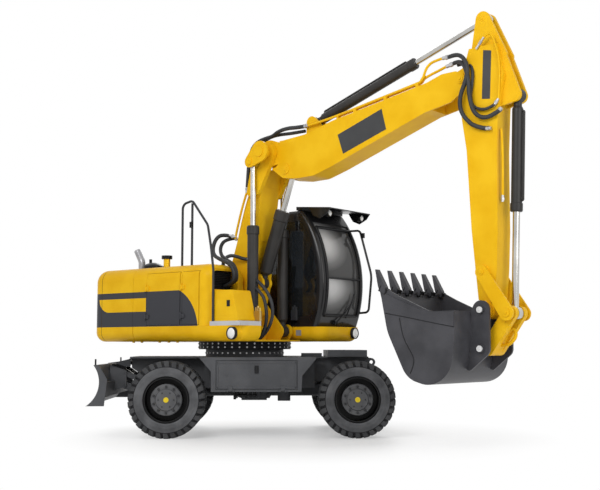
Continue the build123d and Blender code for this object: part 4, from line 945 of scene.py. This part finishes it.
def add_reflector():
    work = bmesh.new()
    add_box(work, upper(0.852, 0.219, 1.443), (0.095, 0.004, 0.08), UPPER_AXES)
    add_piece("side_reflector", mesh_from("side_reflector", work), "upper", REFLECTOR, smooth=False)


def cab_glass_paint():
    """Dark glass, with a painted reflection: pale patches painted on the bowed windscreen's two panes, fading
    with distance from a point on each pane.
    """
    material = glass("cab_glass_front", WINDOW_TINT, 0.02)
    tree = material.node_tree
    shader = tree.nodes["Principled BSDF"]
    place = tree.nodes.new("ShaderNodeTexCoord").outputs["Object"]
    axes = tree.nodes.new("ShaderNodeSeparateXYZ")
    link(tree, place, axes.inputs["Vector"])
    screen = product(tree, part_of(tree, axes.outputs["Y"], 0.3, 1.16),
                     part_of(tree, axes.outputs["X"], SWING.x + 0.95, 9))
    # Painted reflection: pale patches painted into the windscreen's colour, one on each pane, fading with
    # distance from its centre.
    upper_painted_reflection = distance_from(tree, place, (0, 0.3, 2.74), (1e6, 0.66, 0.42))
    lower_painted_reflection = distance_from(tree, place, (0, 0.34, 2.1), (1e6, 0.66, 0.36))
    low_pane = part_of(tree, axes.outputs["Z"], 0, 2.235)
    high_pane = part_of(tree, axes.outputs["Z"], 2.235, 9)
    reach = combine(tree, product(tree, upper_painted_reflection, high_pane), product(tree, lower_painted_reflection, low_pane), "ADD")
    fade = tree.nodes.new("ShaderNodeValToRGB")
    stops = ((0.0, 0.78), (0.35, 0.62), (0.75, 0.2), (1.0, 0.07))
    elements = fade.color_ramp.elements
    elements[0].position, elements[0].color = stops[0][0], (stops[0][1],) * 3 + (1,)
    elements[1].position, elements[1].color = stops[3][0], (stops[3][1],) * 3 + (1,)
    for position, shade in stops[1:3]:
        elements.new(position).color = (shade, shade, shade, 1)
    link(tree, reach, fade.inputs["Fac"])
    mix = tree.nodes.new("ShaderNodeMix")
    mix.data_type = "RGBA"
    link(tree, screen, mix.inputs["Factor"])
    link(tree, shader.inputs["Base Color"].links[0].from_socket, mix.inputs[6])
    link(tree, fade.outputs["Color"], mix.inputs[7])
    link(tree, mix.outputs[2], shader.inputs["Base Color"])
    # The windscreen lets less light through, so that the painted reflection shows.
    clear = tree.nodes.new("ShaderNodeMapRange")
    clear.inputs["To Min"].default_value = 0.9
    clear.inputs["To Max"].default_value = 0.12
    link(tree, screen, clear.inputs["Value"])
    link(tree, clear.outputs["Result"], shader.inputs["Transmission Weight"])
    return material


SIDE_OF_BUCKET = 0.684


def add_bucket_trim():
    """Side cutters, seams and bare pin ends of the bucket."""
    cutter = ((3.098, 1.925), (3.3, 1.838), (3.502, 1.755), (3.68, 1.69), (3.851, 1.655), (4.132, 1.652),
              (4.128, 1.48), (3.849, 1.53), (3.5, 1.598), (3.166, 1.658))
    seam = ((3.376, 1.59), (3.4, 1.46), (3.44, 1.33), (3.51, 1.22), (3.575, 1.115), (3.575, 1.03),
            (3.524, 0.925))
    for side, word in ((-1, "right"), (1, "left")):
        work = bmesh.new()
        points = [boom(x, z, side * SIDE_OF_BUCKET) for x, z in cutter]
        prism(work, points, Vector((0, side, 0)), 0.01)
        piece = add_piece("side_cutter_" + word, mesh_from("side_cutter_" + word, work), "bucket", BUCKET,
                          smooth=False)
        work = bmesh.new()
        add_tube(work, [boom(x, z, side * (SIDE_OF_BUCKET + 0.001)) for x, z in seam], 0.006, corners=1)
        add_tube(work, [boom(x, z - 0.004, side * (SIDE_OF_BUCKET + 0.002)) for x, z in cutter[6:]], 0.006,
                 corners=1)
        add_piece("bucket_seam_" + word, mesh_from("bucket_seam_" + word, work), "bucket", BLACK)
        work = bmesh.new()
        for x, z, y in ((4.271, 1.68, 0.331), (4.271, 1.221, 0.341)):
            centre = boom(x, z, side * y)
            out = Vector((0, side, 0))
            prism(work, ring_points(centre, Vector((1, 0, 0)), UP, 0.037, 24), out, 0.014)
            hex_head(work, centre + out * 0.014, out, 0.014, 0.008)
        add_piece("pin_ends_" + word, mesh_from("pin_ends_" + word, work), "bucket", PIN, smooth=False)
    work = bmesh.new()
    for index in range(6):
        y = (index - 2.5) * 0.264
        add_box(work, boom(3.14, 1.935, y), (0.115, 0.088, 0.075), (Vector((0.8, 0, -0.45)).normalized(),
                Vector((0, 1, 0)), Vector((0.45, 0, 0.8)).normalized()))
    add_piece("tooth_adapters", mesh_from("tooth_adapters", work), "bucket", BLACK, smooth=False)
    work = bmesh.new()
    ring = ((4.39, 1.33), (4.44, 1.41), (4.52, 1.46), (4.57, 1.43), (4.57, 1.36), (4.52, 1.3), (4.46, 1.26),
            (4.37, 1.26))
    add_tube(work, [boom(x, z) for x, z in ring], 0.02)
    piece = add_piece("lifting_ring", mesh_from("lifting_ring", work), "bucket_link", YELLOW)


# Plates with a bolt over the pins' ends: name, body, places (x, z, half spread), radius
PIN_PLATES = (
    ("boom_head_bolts", "lower_boom", ((0.861, 3.98, 0.302),), 0.055),
    ("lift_bolts", "lift_rod", ((0.676, 3.858, 0.302),), 0.055),
    ("positioner_bolts", "upper_boom", ((1.164, 3.722, 0.209), (3.983, 4.542, 0.206)), 0.04),
    ("dipper_bolts", "dipper", ((4.251, 5.275, 0.095), (4.243, 2.134, 0.237)), 0.036),
    ("link_bolts", "tipping_links", ((4.564, 1.641, 0.236),), 0.05),
)


def add_pin_plates():
    for name, body, places, radius in PIN_PLATES:
        work = bmesh.new()
        for x, z, spread in places:
            for side in (-1, 1):
                out = Vector((0, side, 0))
                centre = boom(x, z, side * spread)
                prism(work, ring_points(centre, Vector((1, 0, 0)), UP, radius, 28), out, 0.008)
                hex_head(work, centre + out * 0.008, out, 0.018, 0.01)
        piece = add_piece(name, mesh_from(name, work), body, YELLOW, smooth=False)


def add_valve_blocks():
    """Valve blocks with their fittings beside the boom's foot."""
    for name, centre, size, paint in (("valve_block_right", (0.965, -0.8, 1.66), (0.12, 0.05, 0.14), BRASS),
                                      ("valve_block_left", (0.8, 0.19, 1.7), (0.11, 0.052, 0.15), DARK)):
        work = bmesh.new()
        add_box(work, upper(*centre), size, UPPER_AXES)
        for shift, height in ((-0.035, 0.05), (0.0, 0.07), (0.035, 0.045)):
            top = upper(centre[0] + shift, centre[1], centre[2] + size[2] / 2)
            prism(work, ring_points(top, Vector((1, 0, 0)), Vector((0, 1, 0)), 0.013, 6), UP, height)
        add_piece(name, mesh_from(name, work), "upper", paint, smooth=False)


def add_chassis_trim():
    """Couplings and box under the side box, blocks on the deck, a thin dark plate as painted shade in the gap
    under the side box, and marker posts of the blade.
    """
    work = bmesh.new()
    outline = ((-1.6, 1.094), (-1.6, 1.074), (-1.68, 1.028), (-1.95, 1.004), (-1.95, 1.012), (-1.69, 1.046))
    prism(work, [chassis(x, -0.43, z) for x, z in outline], LEFT, 0.86)
    # Painted shade: a thin dark plate that closes a see-through gap under the side box and stands for the
    # shade there.
    add_box(work, chassis(0.93, -0.3, 0.63), (0.36, 0.012, 0.14), CHASSIS_AXES)
    for side in (-1, 1):
        skirt = ((-1.625, 1.072), (-1.625, 0.96), (-1.7, 0.96), (-1.86, 1.016))
        prism(work, [chassis(x, side * 0.43 - 0.005, z) for x, z in skirt], LEFT, 0.01)
    add_box(work, chassis(0.568, -0.9, 0.566), (0.174, 0.22, 0.134), CHASSIS_AXES)
    add_box(work, chassis(0.22, -0.9, 0.59), (0.06, 0.1, 0.09), CHASSIS_AXES)
    add_box(work, chassis(0.965, -0.6, 1.125), (0.29, 0.16, 0.056), CHASSIS_AXES)
    piece = add_piece("frame_boxes", mesh_from("frame_boxes", work), "undercarriage", DARK, smooth=False)
    work = bmesh.new()
    for x, low in ((-0.115, 0.515), (-0.02, 0.555), (0.04, 0.535), (0.1, 0.545), (0.16, 0.55)):
        foot = chassis(x, -0.9, low)
        hex_head(work, foot, UP, 0.02, 0.635 - low)
    add_tube(work, [chassis(-0.115, -0.9, 0.56), chassis(-0.02, -0.93, 0.58), chassis(0.1, -0.92, 0.56),
                    chassis(0.22, -0.9, 0.58)], 0.014)
    add_piece("hose_couplings", mesh_from("hose_couplings", work), "undercarriage", BLACK, smooth=False)
    work = bmesh.new()
    for side in (-1, 1):
        add_tube(work, [chassis(-1.998, side * 1.2, 0.99), chassis(-1.998, side * 1.2, 1.03),
                        chassis(-1.998, side * 1.2, 1.075)], 0.012)
    add_piece("blade_posts", mesh_from("blade_posts", work), "blade", BLACK)


def add_upper_trim():
    """Latches, stops, bolt heads and levers of the upper machine."""
    work = bmesh.new()
    add_box(work, upper(0.745, -1.158, 1.832), (0.058, 0.006, 0.085), UPPER_AXES)
    add_box(work, upper(0.076 - 0.19, -1.005 - 0.022, 2.98), (0.05, 0.03, 0.085), UPPER_AXES)
    add_box(work, upper(1.29, 1.216, 2.915), (0.055, 0.05, 0.075), UPPER_AXES)
    for x in (-2.1, -2.02):
        add_box(work, upper(x, -0.7, 2.406), (0.045, 0.03, 0.014), UPPER_AXES)
    add_piece("small_levers", mesh_from("small_levers", work), "upper", BLACK, smooth=False)
    work = bmesh.new()
    for x in (-1.26, -1.08, -0.7, -0.51, -0.33):
        hex_head(work, upper(x, -1.06, 1.32), -UP, 0.02, 0.02)
    add_box(work, upper(0.8, -1.158, 1.84), (0.04, 0.006, 0.06), UPPER_AXES)
    add_box(work, upper(-1.21, -1.2015, 1.9), (0.1, 0.004, 0.072), UPPER_AXES)
    for x, z in ((0.7, 1.668), (0.55, 1.672)):
        add_box(work, upper(x, -1.1562, z), (0.16, 0.002, 0.004), UPPER_AXES)
    piece = add_piece("yellow_trim", mesh_from("yellow_trim", work), "upper", YELLOW, smooth=False)


def add_shade_screen():
    """Finned screen behind the opening at the hood's front, black as painted shade: a dark sheet standing for
    the shaded inside of the hood.
    """
    work = bmesh.new()
    # Painted shade: this black screen stands for the dark inside of the hood seen through the opening.
    add_box(work, upper(0.3, -0.875, 2.185), (0.02, 0.46, 0.3), UPPER_AXES)
    for index in range(12):
        add_box(work, upper(0.318, -0.875, 2.05 + index * 0.024), (0.03, 0.45, 0.008), UPPER_AXES)
    add_piece("bay_shade_screen", mesh_from("bay_shade_screen", work), "upper", BLACK, smooth=False)


add_camera()
add_stage()
add_lamp("key", (3.0, -11.0, 9.0), (0, 0, 1.5), 6.0, 700)
add_lamp("fill", (11.0, -3.0, 5.0), (0, 0, 1.8), 5.0, 280)
add_lamp("back", (-6.0, 8.0, 9.0), (0, 0, 2.0), 6.0, 360)
dress_nodes()
dress(hood_paint(), "counterweight", "hood_shell", "service_door_right", "pump_door_right",
      "service_door_left")
dress(frame_paint(), "upper_frame")
dress(fittings_paint(), "roof_fittings")
dress(cab_glass_paint(), "cab_glass")
add_wheels()
add_hoses()
add_pipes()
add_ends()
add_ring_bolts()
add_lamps()
add_blank_panels()
add_side_box_trim()
add_tread_pattern()
add_cushions()
add_front_glass_trim()
add_reflector()
add_bucket_trim()
add_pin_plates()
add_valve_blocks()
add_chassis_trim()
add_upper_trim()
add_shade_screen()

bpy.context.scene.view_settings.view_transform = "Standard"
